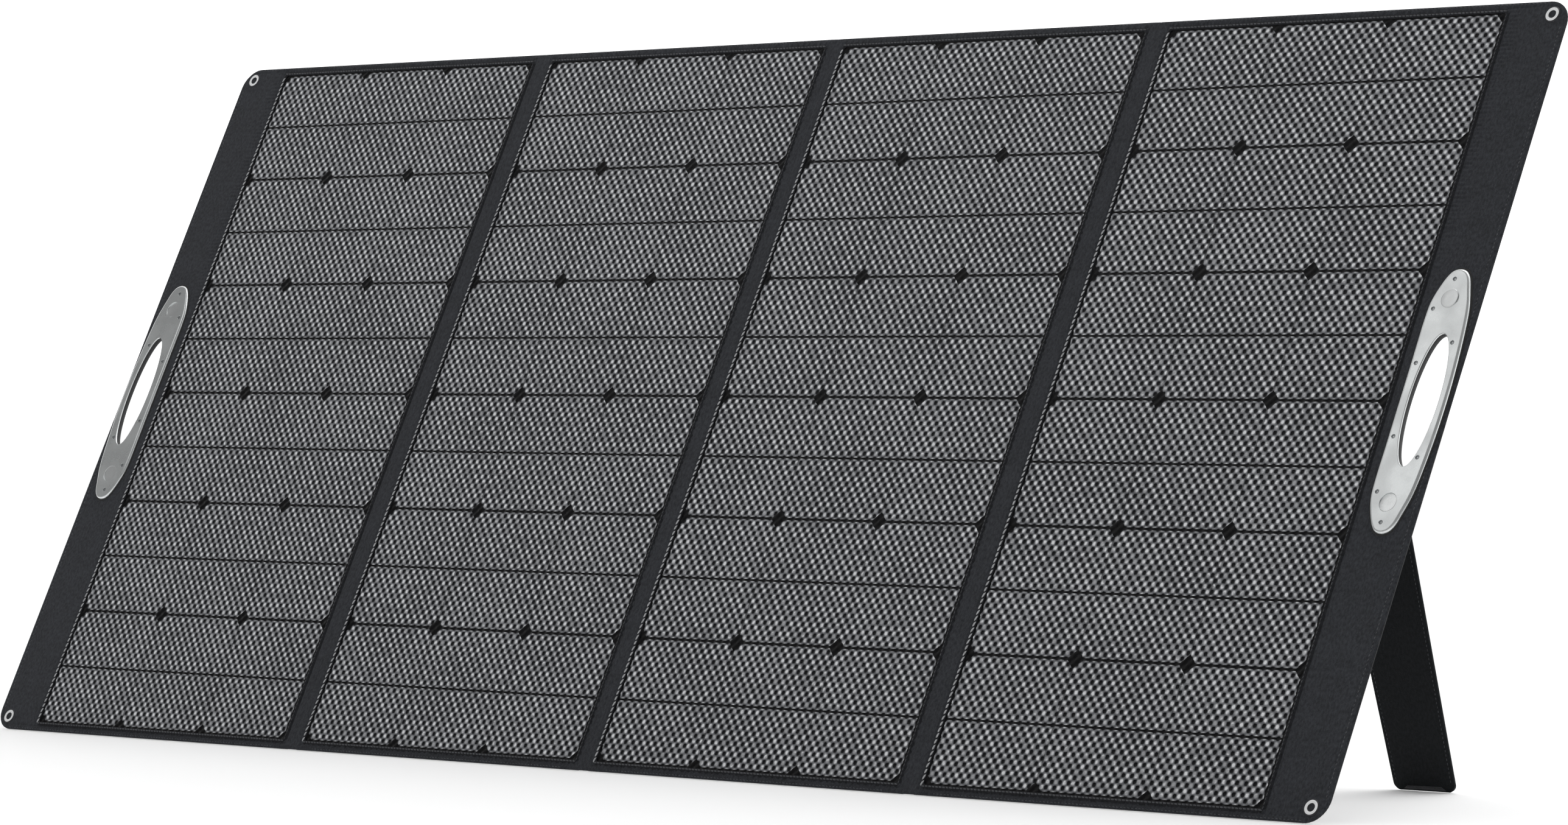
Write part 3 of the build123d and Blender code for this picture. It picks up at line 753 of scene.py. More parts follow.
def silicon_finish():
    """Blue-black cell with a soft mottle."""
    finish = Finish("silicon", (0.01, 0.014, 0.03), 0.25, Coat_Weight=0.4)
    place = finish.object_map()
    mottled = finish.noise(place, 60.0)
    finish.color(finish.blend(mottled, (0.006, 0.008, 0.016), (0.02, 0.028, 0.055)))
    finish.bump(finish.noise(place, 800.0), 0.1, 0.0001)
    return finish.material


def floor_finish():
    """Plain pale studio floor."""
    finish = Finish("studio_floor", (0.93, 0.93, 0.93), 0.9, Specular_IOR_Level=0.1, Emission_Strength=0.16)
    finish.shader.inputs["Emission Color"].default_value = (*WHITE, 1.0)
    faint = finish.noise(finish.object_map(), 3.0, 2.0)
    finish.color(finish.blend(faint, (0.92, 0.92, 0.92), (0.94, 0.94, 0.94)))
    return finish.material


BORDER_CLOTH = woven("border_cloth", (0.017, 0.0185, 0.0215), (0.05, 0.053, 0.061), 1.5 * MM)
EDGE_CLOTH = woven("edge_cloth", (0.01, 0.0105, 0.012), (0.028, 0.029, 0.033), 1.1 * MM, 0.6, 0.03)
BACK_CLOTH = woven("back_cloth", (0.014, 0.015, 0.017), (0.03, 0.031, 0.034), 1.9 * MM, 0.7)
LEG_CLOTH = woven("leg_cloth", (0.008, 0.009, 0.01), (0.018, 0.02, 0.022), 1.3 * MM, 0.45, 0.04)
# Pale copy of the dark thread: painted highlight on the lip's left side.
PAINTED_HIGHLIGHT_THREAD = woven("thread_painted_highlight", (0.34, 0.345, 0.355), (0.6, 0.61, 0.625), 0.5 * MM, 0.5, 0.1)
DARK_THREAD = woven("dark_thread", (0.055, 0.057, 0.062), (0.13, 0.134, 0.144), 0.5 * MM, 0.5, 0.08)
FILM = embossed_film()
WEBBING = webbing_finish()
SILICON = silicon_finish()
HOOKS = moulded("hook_tape", (0.014, 0.014, 0.016), 0.8, 1500.0, 1.0)
HANDLE_METAL = satin_metal("handle_satin", (0.72, 0.74, 0.74), 0.28, 0.06)
SCREW_METAL = satin_metal("screw_steel", (0.32, 0.33, 0.34), 0.35, 0.3)
MAGNET_METAL = satin_metal("magnet_nickel", (0.74, 0.755, 0.755), 0.26)
EYELET_METAL = satin_metal("eyelet_enamel", (0.95, 0.955, 0.96), 0.3, 0.05, 0.1)
# Dark copy of the eyelet metal: painted shade in the bore and on the roll's outer flank.
EYELET_PAINTED_SHADE = satin_metal("eyelet_painted_shade", (0.06, 0.06, 0.065), 0.5)
COPPER = satin_metal("tinned_copper", (0.75, 0.7, 0.65), 0.3)
BOARD = moulded("board_plastic", (0.05, 0.05, 0.054), 0.6)
LINER = moulded("slot_liner", (0.012, 0.012, 0.013), 0.55, 900.0, 0.2)
BOX_PLASTIC = moulded("box_plastic", (0.014, 0.014, 0.015), 0.5)
# Dark rubber of the cable gland, also used for the ring of painted shadow round each front plate.
RUBBER_AND_SHADOW = moulded("gland_rubber", (0.01, 0.01, 0.01), 0.75, 500.0)
EPOXY = moulded("diode_epoxy", (0.02, 0.02, 0.02), 0.4)


# ---- camera, light and floor ----
def add_camera():
    """The camera, level and long-focus, off the right front of the panel."""
    azimuth = math.radians(43.6)
    elevation = math.radians(0.58)
    distance = 7.0495
    target = TO_ROW @ Vector((133.9 * MM, FILM_FRONT, 496.8 * MM))
    flat = math.cos(elevation)
    away = Vector((math.sin(azimuth) * flat, -math.cos(azimuth) * flat, math.sin(elevation)))
    data = bpy.data.cameras.new("camera")
    data.lens = 128.93
    data.sensor_width = 36.0
    data.clip_end = 100.0
    camera = link("camera", data)
    camera.location = target + away * distance
    camera.rotation_euler = away.to_track_quat("Z", "Y").to_euler()
    bpy.context.scene.camera = camera


def add_area_light(name, place, aim, size, power):
    """A soft box at a place, aimed at a point."""
    data = bpy.data.lights.new(name, "AREA")
    data.shape = "RECTANGLE"
    data.size = data.size_y = size
    data.energy = power
    light = link(name, data)
    light.location = place
    light.rotation_euler = (Vector(place) - Vector(aim)).to_track_quat("Z", "Y").to_euler()


def add_world():
    """Surroundings that are white behind the panel and dimmer in front of it."""
    world = bpy.data.worlds.new("studio")
    nodes = Nodes(world)
    direction = nodes.node("ShaderNodeTexCoord").outputs["Generated"]
    strength = nodes.span(nodes.axes(direction)[1], -0.25, 0.2, FRONT_WORLD, BACK_WORLD)
    background = nodes.tree.nodes["Background"]
    background.inputs["Color"].default_value = (*WHITE, 1.0)
    nodes.feed(background.inputs["Strength"], strength)
    bpy.context.scene.world = world


def add_studio():
    """Pale surroundings, soft boxes and the floor."""
    add_world()
    add_area_light("key_box", (-1.3, -2.0, 3.0), (0.0, 0.0, 0.45), 1.6, 6.5)
    add_area_light("floor_box", (0.5, 1.5, 4.5), (0.5, 1.5, 0.0), 3.0, 40.0)
    ends = [(-1, -1), (1, -1), (1, 1), (-1, 1)]
    mesh = bpy.data.meshes.new("studio_floor")
    mesh.from_pydata([(x * FLOOR_REACH, y * FLOOR_REACH, 0.0) for x, y in ends], [], [(0, 1, 2, 3)])
    mesh.materials.append(floor_finish())
    link("studio_floor", mesh)


# ---- sections ----
def border_height(section, x, z, seed):
    """Y of the front border cloth: level, with puckers beside the seams and soft waves."""
    edge = -outer_distance(section, x, z)
    inner = -section_distance(section, x, z)
    window = box_distance(x, z, *window_sides(section, LIP_ROLL))
    handle_end = np.abs(x) > HALF_LENGTH - 2 * HANDLE_WEB
    wander = 1 + 0.35 * waves(x * 0, z, seed + 11, 0.08)
    ribs = np.sin(2 * math.pi * z / RIB_PITCH + 2.5 * waves(x, z, seed + 5, 0.2))
    fade = np.clip(1 - window / RIB_REACH, 0, 1) * np.clip((z - RIB_START) / RIB_RISE, 0, 1)
    puckers = RIB_DEPTH * ribs * fade * wander * handle_end * (window > 0)
    soft = 0.12 * MM * waves(x, z, seed, 0.11) * np.clip(inner / (10 * MM), 0, 1)
    seam = ridge(edge - SEAM_INSET, 0.5 * MM, 1.0 * MM) * handle_end
    valley = ridge(window, 0.75 * MM, 1.3 * MM)
    return BORDER_FRONT + puckers + soft + seam + valley + round_over(edge, 1.2 * MM)


def add_border(name, section):
    """Front cloth of a section, with its window and, at a handle end, its hand slot."""
    side = section["handle"]
    loops = [section_loop(section), rounded_rectangle(*window_sides(section, WINDOW_LAP), WINDOW_CORNER)]
    extra = []
    if side:
        loops.append(slot_loop(side, SLEEVE_WALL))
        near = section["centre"] + side * (WINDOW_HALF_WIDTH + WINDOW_LAP)
        low, high = sorted((near, side * HALF_LENGTH))
        columns = np.arange(low + 2 * MM, high, 4 * MM)
        rows = np.arange(2 * MM, PANEL_HEIGHT, 1.4 * MM)
        extra += [(x, z) for x in columns for z in rows if not in_slot(side, x, z, 4 * MM)]
    for grow in (4.4, 5.0, 5.6, 6.4, 7.4, 9.0):
        extra += rounded_rectangle(*window_sides(section, grow * MM), grow * MM, 10 * MM)
    for inset in (0.4, 1.2, 3.5, 5.2, 6.0, 6.8, 7.6, 9.0) if side else (0.4, 1.2):
        extra += section_loop(section, inset * MM)

    def inside(x, z):
        if box_distance(x, z, *window_sides(section, WINDOW_LAP), WINDOW_CORNER) < 0:
            return False
        return on_cloth(section, x, z)

    flat, faces = fill_outline(loops, inside, [p for p in extra if inside(*p)])
    x, z = flat[:, 0], flat[:, 1]
    front = border_height(section, x, z, ord(name))
    edge = -outer_distance(section, x, z)
    back = LAMINATE_BACK - np.minimum(round_over(edge, 0.4 * MM), 0.3 * MM)
    points, solid = thick_plate(flat, faces, np.minimum(front, back - 0.1 * MM), back)
    add_piece(
        "border_" + name, points, solid, BORDER_CLOTH,
        "section_" + name, "border_fabric", "front_frame_" + name, sharp=60,
    )


def add_film(name, section):
    """Dimpled front film over the cells, closed behind by a flat back."""
    step_x = DIMPLE_X / DIMPLE_STEPS
    step_z = DIMPLE_Z / DIMPLE_STEPS
    half_columns = math.ceil((WINDOW_HALF_WIDTH + 1 * MM) / step_x)
    half_rows = math.ceil((WINDOW_HALF_HEIGHT + 1 * MM) / step_z)
    width, height = 2 * half_columns + 1, 2 * half_rows + 1
    across_places = np.arange(-half_columns, half_columns + 1) * step_x
    columns, rows = np.meshgrid(across_places, np.arange(-half_rows, half_rows + 1) * step_z)
    x, z = columns.ravel(), rows.ravel()
    across = x / CELL_PITCH + COLUMNS / 2
    along = z / CELL_PITCH + ROWS / 2
    lens = np.cos(2 * math.pi * across * CELL_PITCH / DIMPLE_X)
    lens = lens * np.cos(2 * math.pi * along * CELL_PITCH / DIMPLE_Z)
    swell = 0.15 * MM * waves(x, z, ord(name), 0.3)
    source = np.random.default_rng(ord(name))
    uneven = 1 + 0.25 * source.uniform(-1, 1, len(x))
    front = FILM_FRONT + DIMPLE_DEPTH * lens * uneven + swell
    points = np.c_[x + section["centre"], front, z + MIDDLE_Z]
    faces = grid_quads(width, height)
    rim = list(range(width))
    rim += [row * width + width - 1 for row in range(1, height)]
    rim += [(height - 1) * width + k for k in range(width - 2, -1, -1)]
    rim += [row * width for row in range(height - 2, 0, -1)]
    first, ring = len(points), len(rim)
    faces += [(rim[(k + 1) % ring], rim[k], first + k, first + (k + 1) % ring) for k in range(ring)]
    faces.append([first + k for k in range(ring)][::-1])
    points = np.concatenate([points, at_depth(points[rim][:, [0, 2]], LAMINATE_BACK - 0.1 * MM)])
    piece = add_piece(
        "film_" + name, points, faces, FILM,
        "section_" + name, "front_sheet", "laminate_" + name, sharp=60,
    )
    across = (points[:, 0] - section["centre"]) / CELL_PITCH + COLUMNS / 2
    along = (points[:, 2] - MIDDLE_Z) / CELL_PITCH + ROWS / 2
    add_map(piece.data, "cells", np.c_[across, along])


def add_lip(name, section):
    """Rolled edge that holds the film down, dimpled where the thread pulls it in."""
    ring = np.array(rounded_rectangle(*window_sides(section, 0.0), 3 * MM, STITCH_PITCH / 3))
    ahead = np.roll(ring, -1, axis=0) - ring
    behind = np.roll(ahead, 1, axis=0)
    tangent = ahead / np.linalg.norm(ahead, axis=1)[:, None]
    tangent = tangent + behind / np.linalg.norm(behind, axis=1)[:, None]
    tangent /= np.linalg.norm(tangent, axis=1)[:, None]
    outward = np.c_[tangent[:, 1], -tangent[:, 0]]
    pull = 0.14 * np.cos(2 * math.pi * run_along(ring) / STITCH_PITCH)
    profile = [(0.0, 1.75), (0.0, 0.8), (0.3, 0.2), (0.9, -0.2), (1.9, -0.4), (2.9, -0.3), (3.6, 0.05)]
    profile += [(3.95, 0.5), (4.1, 0.95), (5.2, 1.05), (5.5, 1.5)]
    rows = []
    for offset, y in profile:
        dent = ridge(offset - 2.9, pull, 1.2)
        rows.append(at_depth(ring + outward * offset * MM, (y + dent) * MM))
    points, faces = ring_wall(rows, closed_profile=True, flip=True)
    add_piece("lip_" + name, points, faces, EDGE_CLOTH, "section_" + name, "border_fabric", sharp=70)


def stitch_shape():
    """One unit stitch along Z: a thread that dives into the cloth at both ends."""
    sides = 5
    angles = 2 * math.pi * np.arange(sides) / sides
    rings = [(-0.5, 0.35, 0.9), (-0.3, 0.9, 0.1), (0.0, 1.0, -0.1), (0.3, 0.9, 0.1), (0.5, 0.35, 0.9)]
    rows = [
        np.c_[radius * np.cos(angles), sink + radius * np.sin(angles), np.full(sides, along)]
        for along, radius, sink in rings
    ]
    points, faces = ring_wall(rows)
    faces.append(tuple(range(sides))[::-1])
    faces.append(tuple(range(len(points) - sides, len(points))))
    return points, faces


STITCH_POINTS, STITCH_FACES = stitch_shape()


def sew(pile, start, end, y, radius=STITCH_RADIUS, pitch=STITCH_PITCH, length=STITCH_LENGTH, slant=0.1):
    """A row of stitches on the front, from one X-Z point to another."""
    start, end = np.array(start), np.array(end)
    run = np.linalg.norm(end - start)
    along = (end - start) / run
    across = np.array([along[1], -along[0]])
    for k in range(int(run / pitch)):
        middle = start + along * pitch * (k + 0.5)
        stretch = length * rng.uniform(0.9, 1.08)
        lean = slant * rng.uniform(0.7, 1.3)
        side = STITCH_POINTS[:, 0] * radius + STITCH_POINTS[:, 2] * stretch * lean
        flat = middle + np.outer(STITCH_POINTS[:, 2] * stretch, along) + np.outer(side, across)
        depth = y + STITCH_POINTS[:, 1] * min(radius, 0.5 * MM) * 0.8
        pile.add(at_depth(flat, depth), STITCH_FACES)


def sew_back(pile, rows, y, radius=0.4 * MM):
    """Rows of stitches on a surface that faces backward at depth y."""
    face = Pile()
    for start, end in rows:
        sew(face, start, end, 0.0, radius)
    points, faces = face.mesh()
    points[:, 1] = y - points[:, 1]
    pile.add(points, flipped(faces))


def box_rows(left, right, low, high, crossed=False):
    """Four sides of a sewn box, and its diagonals if crossed."""
    rows = [((left, low), (right, low)), ((left, high), (right, high))]
    rows += [((left, low), (left, high)), ((right, low), (right, high))]
    if crossed:
        rows += [((left, low), (right, high)), ((left, high), (right, low))]
    return rows


def add_stitching(name, section):
    """Thread on the lip and along the outer edges of a section; the lip's left side is sewn in a pale copy
    of the thread, a painted highlight.
    """
    left, right, low, high = window_sides(section, 2.1 * MM)
    top = -0.42 * MM
    pile = Pile()
    # Painted highlight: the lip's left side is sewn in the pale thread, the other sides in the dark one.
    sew(pile, (left, low), (left, high), top, radius=1.5 * MM, pitch=7.6 * MM, length=6.6 * MM, slant=0.3)
    add_piece(
        "stitching_" + name, *pile.mesh(), PAINTED_HIGHLIGHT_THREAD,
        "section_" + name, "border_fabric",
    )

    seams = Pile()
    sew(seams, (right, low), (right, high), top)
    for z in (low, high):
        sew(seams, (left, z), (right, z), top, radius=0.95 * MM, length=5.2 * MM)
    cloth = BORDER_FRONT - 0.05 * MM
    inset = 2.2 * MM
    for z in (inset, PANEL_HEIGHT - inset):
        sew(seams, (section["left"] + CORNER_RADIUS, z), (section["right"] - CORNER_RADIUS, z), cloth)
    if section["handle"]:
        outer = section["handle"] * (HALF_LENGTH - SEAM_INSET)
        ends = (outer, CORNER_RADIUS), (outer, PANEL_HEIGHT - CORNER_RADIUS)
        sew(seams, *ends, cloth + 0.3 * MM, 0.6 * MM)
    add_piece(
        "seams_" + name, *seams.mesh(), DARK_THREAD,
        "section_" + name, "border_fabric",
    )


def add_back(name, section):
    """Back cloth of a section, slightly quilted over its board."""
    side = section["handle"]
    loops = [section_loop(section)]
    if side:
        loops.append(slot_loop(side, SLEEVE_WALL))
    extra = grid_between(section["left"], section["right"], 0.0, PANEL_HEIGHT, 13 * MM)
    for inset in (0.5, 1.6, 7.0, 8.0, 9.0, 10.0, 11.0):
        extra += section_loop(section, inset * MM)
    extra = [p for p in extra if on_cloth(section, *p) and not (side and in_slot(side, *p, 4 * MM))]
    flat, faces = fill_outline(loops, lambda x, z: on_cloth(section, x, z), extra)
    x, z = flat[:, 0], flat[:, 1]
    edge = -section_distance(section, x, z)
    seam = ridge(edge - BACK_HEM, 0.5 * MM, 1.4 * MM)
    quilt = 0.15 * MM * (1 + waves(x, z, ord(name) + 40, 0.16))
    back = COVER_BACK - round_over(edge, 1.6 * MM) - seam - quilt
    points, solid = thick_plate(flat, faces, LAMINATE_BACK + 0.05 * MM, back)
    add_piece(
        "back_" + name, points, solid, BACK_CLOTH,
        "section_" + name, "back_fabric", "back_cover_" + name, sharp=60,
    )


def add_back_stitching(name, section):
    """Thread on the back: the hem, the top of the leg's band and the strap's sewn end."""
    centre = leg_centre(name)
    near_left = CORNER_RADIUS if section["handle"] == -1 else BACK_HEM
    near_right = CORNER_RADIUS if section["handle"] == 1 else BACK_HEM
    left, right = section["left"], section["right"]
    rows = [((left + near_left, z), (right - near_right, z)) for z in (BACK_HEM, PANEL_HEIGHT - BACK_HEM)]
    for x, near in ((left + BACK_HEM, near_left), (right - BACK_HEM, near_right)):
        rows.append(((x, near), (x, PANEL_HEIGHT - near)))
    pile = Pile()
    sew_back(pile, rows, COVER_BACK - 0.6 * MM)
    sewn = box_rows(centre - 57 * MM, centre + 57 * MM, HINGE_HEIGHT + 14 * MM, HINGE_HEIGHT + 26.5 * MM)
    sew_back(pile, sewn, COVER_BACK + 0.6 * MM)
    half = STRAP_WIDTH / 2 - 2.5 * MM
    sewn = box_rows(centre - half, centre + half, STRAP_END - 21.5 * MM, STRAP_END - 6 * MM, True)
    sew_back(pile, sewn, COVER_BACK + 0.68 * MM, 0.35 * MM)
    add_piece(
        "back_seams_" + name, *pile.mesh(), DARK_THREAD,
        "section_" + name, "back_fabric",
    )


def add_fold(name, fold_x, nodes):
    """Soft cloth between two sections, creased along their fold."""
    columns = 12
    rows = 200
    xs = np.linspace(-FLEX_HALF, FLEX_HALF, columns + 1)
    xs = np.concatenate([[-FLEX_HALF - FOLD_LAP], xs, [FLEX_HALF + FOLD_LAP]])
    inner = np.linspace(2 * MM, PANEL_HEIGHT - 2 * MM, rows + 1)
    zs = np.concatenate([[0.0, 0.3 * MM, 1.0 * MM], inner, PANEL_HEIGHT - np.array([1.0, 0.3, 0.0]) * MM])
    grid_x, grid_z = np.meshgrid(xs, zs)
    x, z = grid_x.ravel(), grid_z.ravel()
    crease = ridge(x, 0.3 * MM, 1.5 * MM)
    fade = np.clip((FLEX_HALF - np.abs(x)) / (3 * MM), 0, 1)
    soft = 0.08 * MM * waves(x * 3, z, 90 + int(fold_x * 10), 0.09) * fade
    lap = np.where(np.abs(x) > FLEX_HALF, 0.15 * MM, 0.0)
    edge = np.minimum(z, PANEL_HEIGHT - z)
    front = BORDER_FRONT + crease + soft + lap + round_over(edge, 1.2 * MM)
    back = STRIP_BACK - 0.3 * crease - round_over(edge, 0.4 * MM)
    quads = grid_quads(len(xs), len(zs))
    points, solid = thick_plate(np.c_[x + fold_x, z], quads, front, back)
    piece = make_piece(name, points, solid, BORDER_CLOTH)
    crisp(piece, 60)
    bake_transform(piece)
    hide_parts(*nodes)


# ---- handles ----
def smooth_ring(points, steps):
    """A closed Catmull-Rom curve through the points, evenly spaced along its length."""
    ring = np.array(points, float)
    dense = []
    count = len(ring)
    for k in range(count):
        p0, p1, p2, p3 = (ring[(k + offset) % count] for offset in (-1, 0, 1, 2))
        knots = [0.0]
        for a, b in ((p0, p1), (p1, p2), (p2, p3)):
            knots.append(knots[-1] + max(np.linalg.norm(b - a), 1e-9) ** 0.5)
        t0, t1, t2, t3 = knots
        for i in range(steps):
            t = t1 + (t2 - t1) * i / steps
            a1 = (t1 - t) / (t1 - t0) * p0 + (t - t0) / (t1 - t0) * p1
            a2 = (t2 - t) / (t2 - t1) * p1 + (t - t1) / (t2 - t1) * p2
            a3 = (t3 - t) / (t3 - t2) * p2 + (t - t2) / (t3 - t2) * p3
            b1 = (t2 - t) / (t2 - t0) * a1 + (t - t0) / (t2 - t0) * a2
            b2 = (t3 - t) / (t3 - t1) * a2 + (t - t1) / (t3 - t1) * a3
            dense.append((t2 - t) / (t2 - t1) * b1 + (t - t1) / (t2 - t1) * b2)
    closed = np.array(dense + dense[:1])
    run = run_along(closed)
    even = np.linspace(0, run[-1], 240, endpoint=False)
    return np.c_[np.interp(even, run, closed[:, 0]), np.interp(even, run, closed[:, 1])]


def handle_loop(side, inset=0.0):
    """Outline of a handle plate, counter-clockwise, shrunk by an inset."""
    right = [(33.6, 0.0), (31.7, 60.0), (26.0, 117.0), (19.4, 141.0), (13.2, 158.0), (6.6, 165.3)]
    top = [(-2.6, 167.9), (-12.0, 165.3), (-18.6, 158.0), (-26.7, 140.8)]
    left = [(-31.8, 124.0), (-33.2, 108.0), (-33.2, 54.0), (-33.2, 0.0)]
    upper = right + top + left
    ring = smooth_ring(upper + [(x, -z) for x, z in reversed(upper[1:-1])], 14)
    if side < 0:
        ring = (ring * np.array([-1.0, 1.0]))[::-1]
    ring = ring * MM
    tangent = np.roll(ring, -1, axis=0) - np.roll(ring, 1, axis=0)
    tangent /= np.linalg.norm(tangent, axis=1)[:, None]
    outward = np.c_[tangent[:, 1], -tangent[:, 0]]
    return ring - outward * inset + np.array([side * HANDLE_X, MIDDLE_Z])


def handle_body(side):
    """The section that carries a handle."""
    return "section_a" if side < 0 else "section_d"


def handle_places(side, places):
    """Places on a plate, above and below its middle."""
    return [(side * (HANDLE_X + x * MM), MIDDLE_Z + up * z * MM, up) for x, z in places for up in (1, -1)]


def rim_rows(side, profile, level=0.0, away=1):
    """Rings along a plate's outline; profile is (inset, depth from the level) in millimetres."""
    return [at_depth(handle_loop(side, inset * MM), level + away * depth * MM) for inset, depth in profile]


def slot_rows(side, profile, level, away=1):
    """Rings round a hand slot; profile is (growth, depth from the level) in millimetres."""
    return [
        at_depth(np.array(slot_loop(side, grow * MM, SLOT_SIDES)), level + away * depth * MM)
        for grow, depth in profile
    ]


def plate_shell(side, level, away, rim, mouth, seats=()):
    """One face of a handle plate with its rim and the mouth of its slot; away is 1 in front."""
    outline = handle_loop(side, rim[0][0] * MM)
    grow = mouth[0][0] * MM
    loops = [outline.tolist(), slot_loop(side, grow, SLOT_SIDES)]
    for x, z, radius, _ in seats:
        loops.append(ellipse_loop(x, z, radius + FLAT_BAND, radius + FLAT_BAND, SEAT_SIDES))

    def inside(x, z):
        if in_slot(side, x, z, grow):
            return False
        if any(math.hypot(x - sx, z - sz) < radius + FLAT_BAND * 0.8 for sx, sz, radius, _ in seats):
            return False
        return point_in_ring(outline, x, z)

    flat, faces = fill_outline(loops, inside)
    pile = Pile()
    pile.add(at_depth(flat, level), faces if away > 0 else flipped(faces))
    pile.add(*ring_wall(rim_rows(side, rim, level, away), flip=away > 0))
    pile.add(*ring_wall(slot_rows(side, mouth, level, away), flip=away < 0))
    return pile


def finish_plate(name, pile, side, node):
    """A welded metal plate that stands for a CAD node."""
    piece = add_piece(name, *pile.mesh(), HANDLE_METAL, handle_body(side), "handle_metal", node)
    weld(piece, 32)


def add_front_plate(word, side):
    """Front handle plate: bevelled rim, slot mouth, seats for screws and magnets."""
    seats = [(x, z, SCREW_SEAT, SCREW_SINK) for x, z, _ in handle_places(side, SCREW_PLACES)]
    seats += [(x, z, MAGNET_SEAT, MAGNET_SINK) for x, z, _ in handle_places(side, [MAGNET_PLACE])]
    rim = [(4.3, 0.0), (3.6, 0.0), (3.0, 0.06), (2.3, 0.28), (1.5, 0.72)]
    rim += [(0.8, 1.35), (0.3, 2.1), (0.05, 2.9), (0.0, 3.9)]
    mouth = [(1.6, 0.0), (1.1, 0.0), (0.45, 0.2), (0.1, 0.65), (0.1, 1.6)]
    pile = plate_shell(side, PLATE_FRONT, 1, rim, mouth, seats)
    for x, z, radius, depth in seats:
        rows = []
        for shrink, drop in ((-FLAT_BAND / MM, 0.0), (0.0, 0.0), (0.12, 0.12), (0.15, 1.0)):
            ring = np.array(ellipse_loop(x, z, radius - shrink * MM, radius - shrink * MM, SEAT_SIDES))
            rows.append(at_depth(ring, PLATE_FRONT + drop * depth))
        middle = np.array([x, PLATE_FRONT + depth, z])
        rows.append(middle + (rows[-1] - middle) * 0.02)
        pile.add(*ring_wall(rows))
    finish_plate("handle_plate_" + word, pile, side, "handle_front_" + word)


def add_rear_plate(word, side):
    """Rear handle plate with softened edges."""
    rim = [(1.2, 0), (0.7, 0), (0.2, 0.2), (0, 0.6), (0, 1.3)]
    mouth = [(1.7, 0), (1.2, 0), (0.7, 0.2), (0.5, 0.6), (0.5, 1.3)]
    pile = plate_shell(side, PLATE_REAR, -1, rim, mouth)
    finish_plate("handle_rear_" + word, pile, side, "handle_back_" + word)


def add_painted_shadow_ring(word, side):
    """Dark ring round the front plate: a painted contact shadow, drawn as a rubber-like ring."""
    profile = [(0.6, 1.0), (-1.7, 1.0), (-2.0, 0.7), (-1.8, 0.4), (-1.2, 0.25), (0.6, 0.3)]
    points, walls = ring_wall(rim_rows(side, profile), closed_profile=True)
    add_piece("shadow_ring_" + word, points, walls, RUBBER_AND_SHADOW, handle_body(side), "board_plastic", sharp=50)


def add_liner(word, side):
    """Dark moulded liner through the hand slot, between the two plates."""
    profile = [(1.0, 1.5), (0.35, 1.35), (0.0, 1.7), (0.0, 7.9), (0.3, 8.4), (1.0, 8.6)]
    points, walls = ring_wall(slot_rows(side, profile, PLATE_FRONT), closed_profile=True)
    add_piece("slot_liner_" + word, points, walls, LINER, handle_body(side), "board_plastic", sharp=50)


def turned(x, z, profile, sides, phase=0.0, level=0.0, lobe=0.0):
    """Rings of a round or six-lobed part facing front; profile is (radius, y) in millimetres."""
    angles = 2 * math.pi * np.arange(sides) / sides
    rows = []
    for radius, y in profile:
        reach = radius * MM * (1 + (lobe if radius > 0.5 else 0.0) * np.cos(6 * angles))
        flat = np.c_[x + reach * np.cos(angles + phase), z + reach * np.sin(angles + phase)]
        rows.append(at_depth(flat, level + y * MM))
    return rows


def add_screws(word, side):
    """Countersunk screws with a six-lobed drive."""
    pile = Pile()
    level = PLATE_FRONT + 0.55 * MM
    head = [(2.5, 0.6), (2.5, 0.15), (2.3, 0.0), (1.25, -0.05)]
    drive = [(1.15, 0.05), (1.05, 0.9), (0.05, 1.0)]
    for x, z, _ in handle_places(side, SCREW_PLACES):
        phase = rng.uniform(0, math.pi)
        rows = turned(x, z, head, 24, phase, level) + turned(x, z, drive, 24, phase, level, 0.22)
        pile.add(*ring_wall(rows))
    name = "handle_screw_heads_" + word
    add_piece(
        name, *pile.mesh(), SCREW_METAL,
        handle_body(side), "screw_steel", "handle_screws_" + word, sharp=40,
    )


def add_magnets(word, side):
    """Round magnets, slightly askew in their seats."""
    pile = Pile()
    leans = {(1, 1): (-0.055, -0.01), (1, -1): (-0.03, 0.05), (-1, 1): (0.0, 0.055), (-1, -1): (0.0, -0.055)}
    profile = [(11.9, 1.4), (11.9, 0.25), (11.7, 0.07), (11.3, 0.0), (5.0, -0.01), (0.1, -0.01)]
    for x, z, up in handle_places(side, [MAGNET_PLACE]):
        lean_x, lean_z = leans[side, up]
        sink = (0.62 if up < 0 or side < 0 else -0.62) * MM
        rows = turned(x, z, profile, 64, 0.0, PLATE_FRONT + sink)
        for row in rows:
            row[:, 1] += (row[:, 0] - x) * lean_x + (row[:, 2] - z) * lean_z
        pile.add(*ring_wall(rows))
    name = "handle_magnet_discs_" + word
    add_piece(
        name, *pile.mesh(), MAGNET_METAL,
        handle_body(side), "magnet_metal", "handle_magnets_" + word, sharp=40,
    )


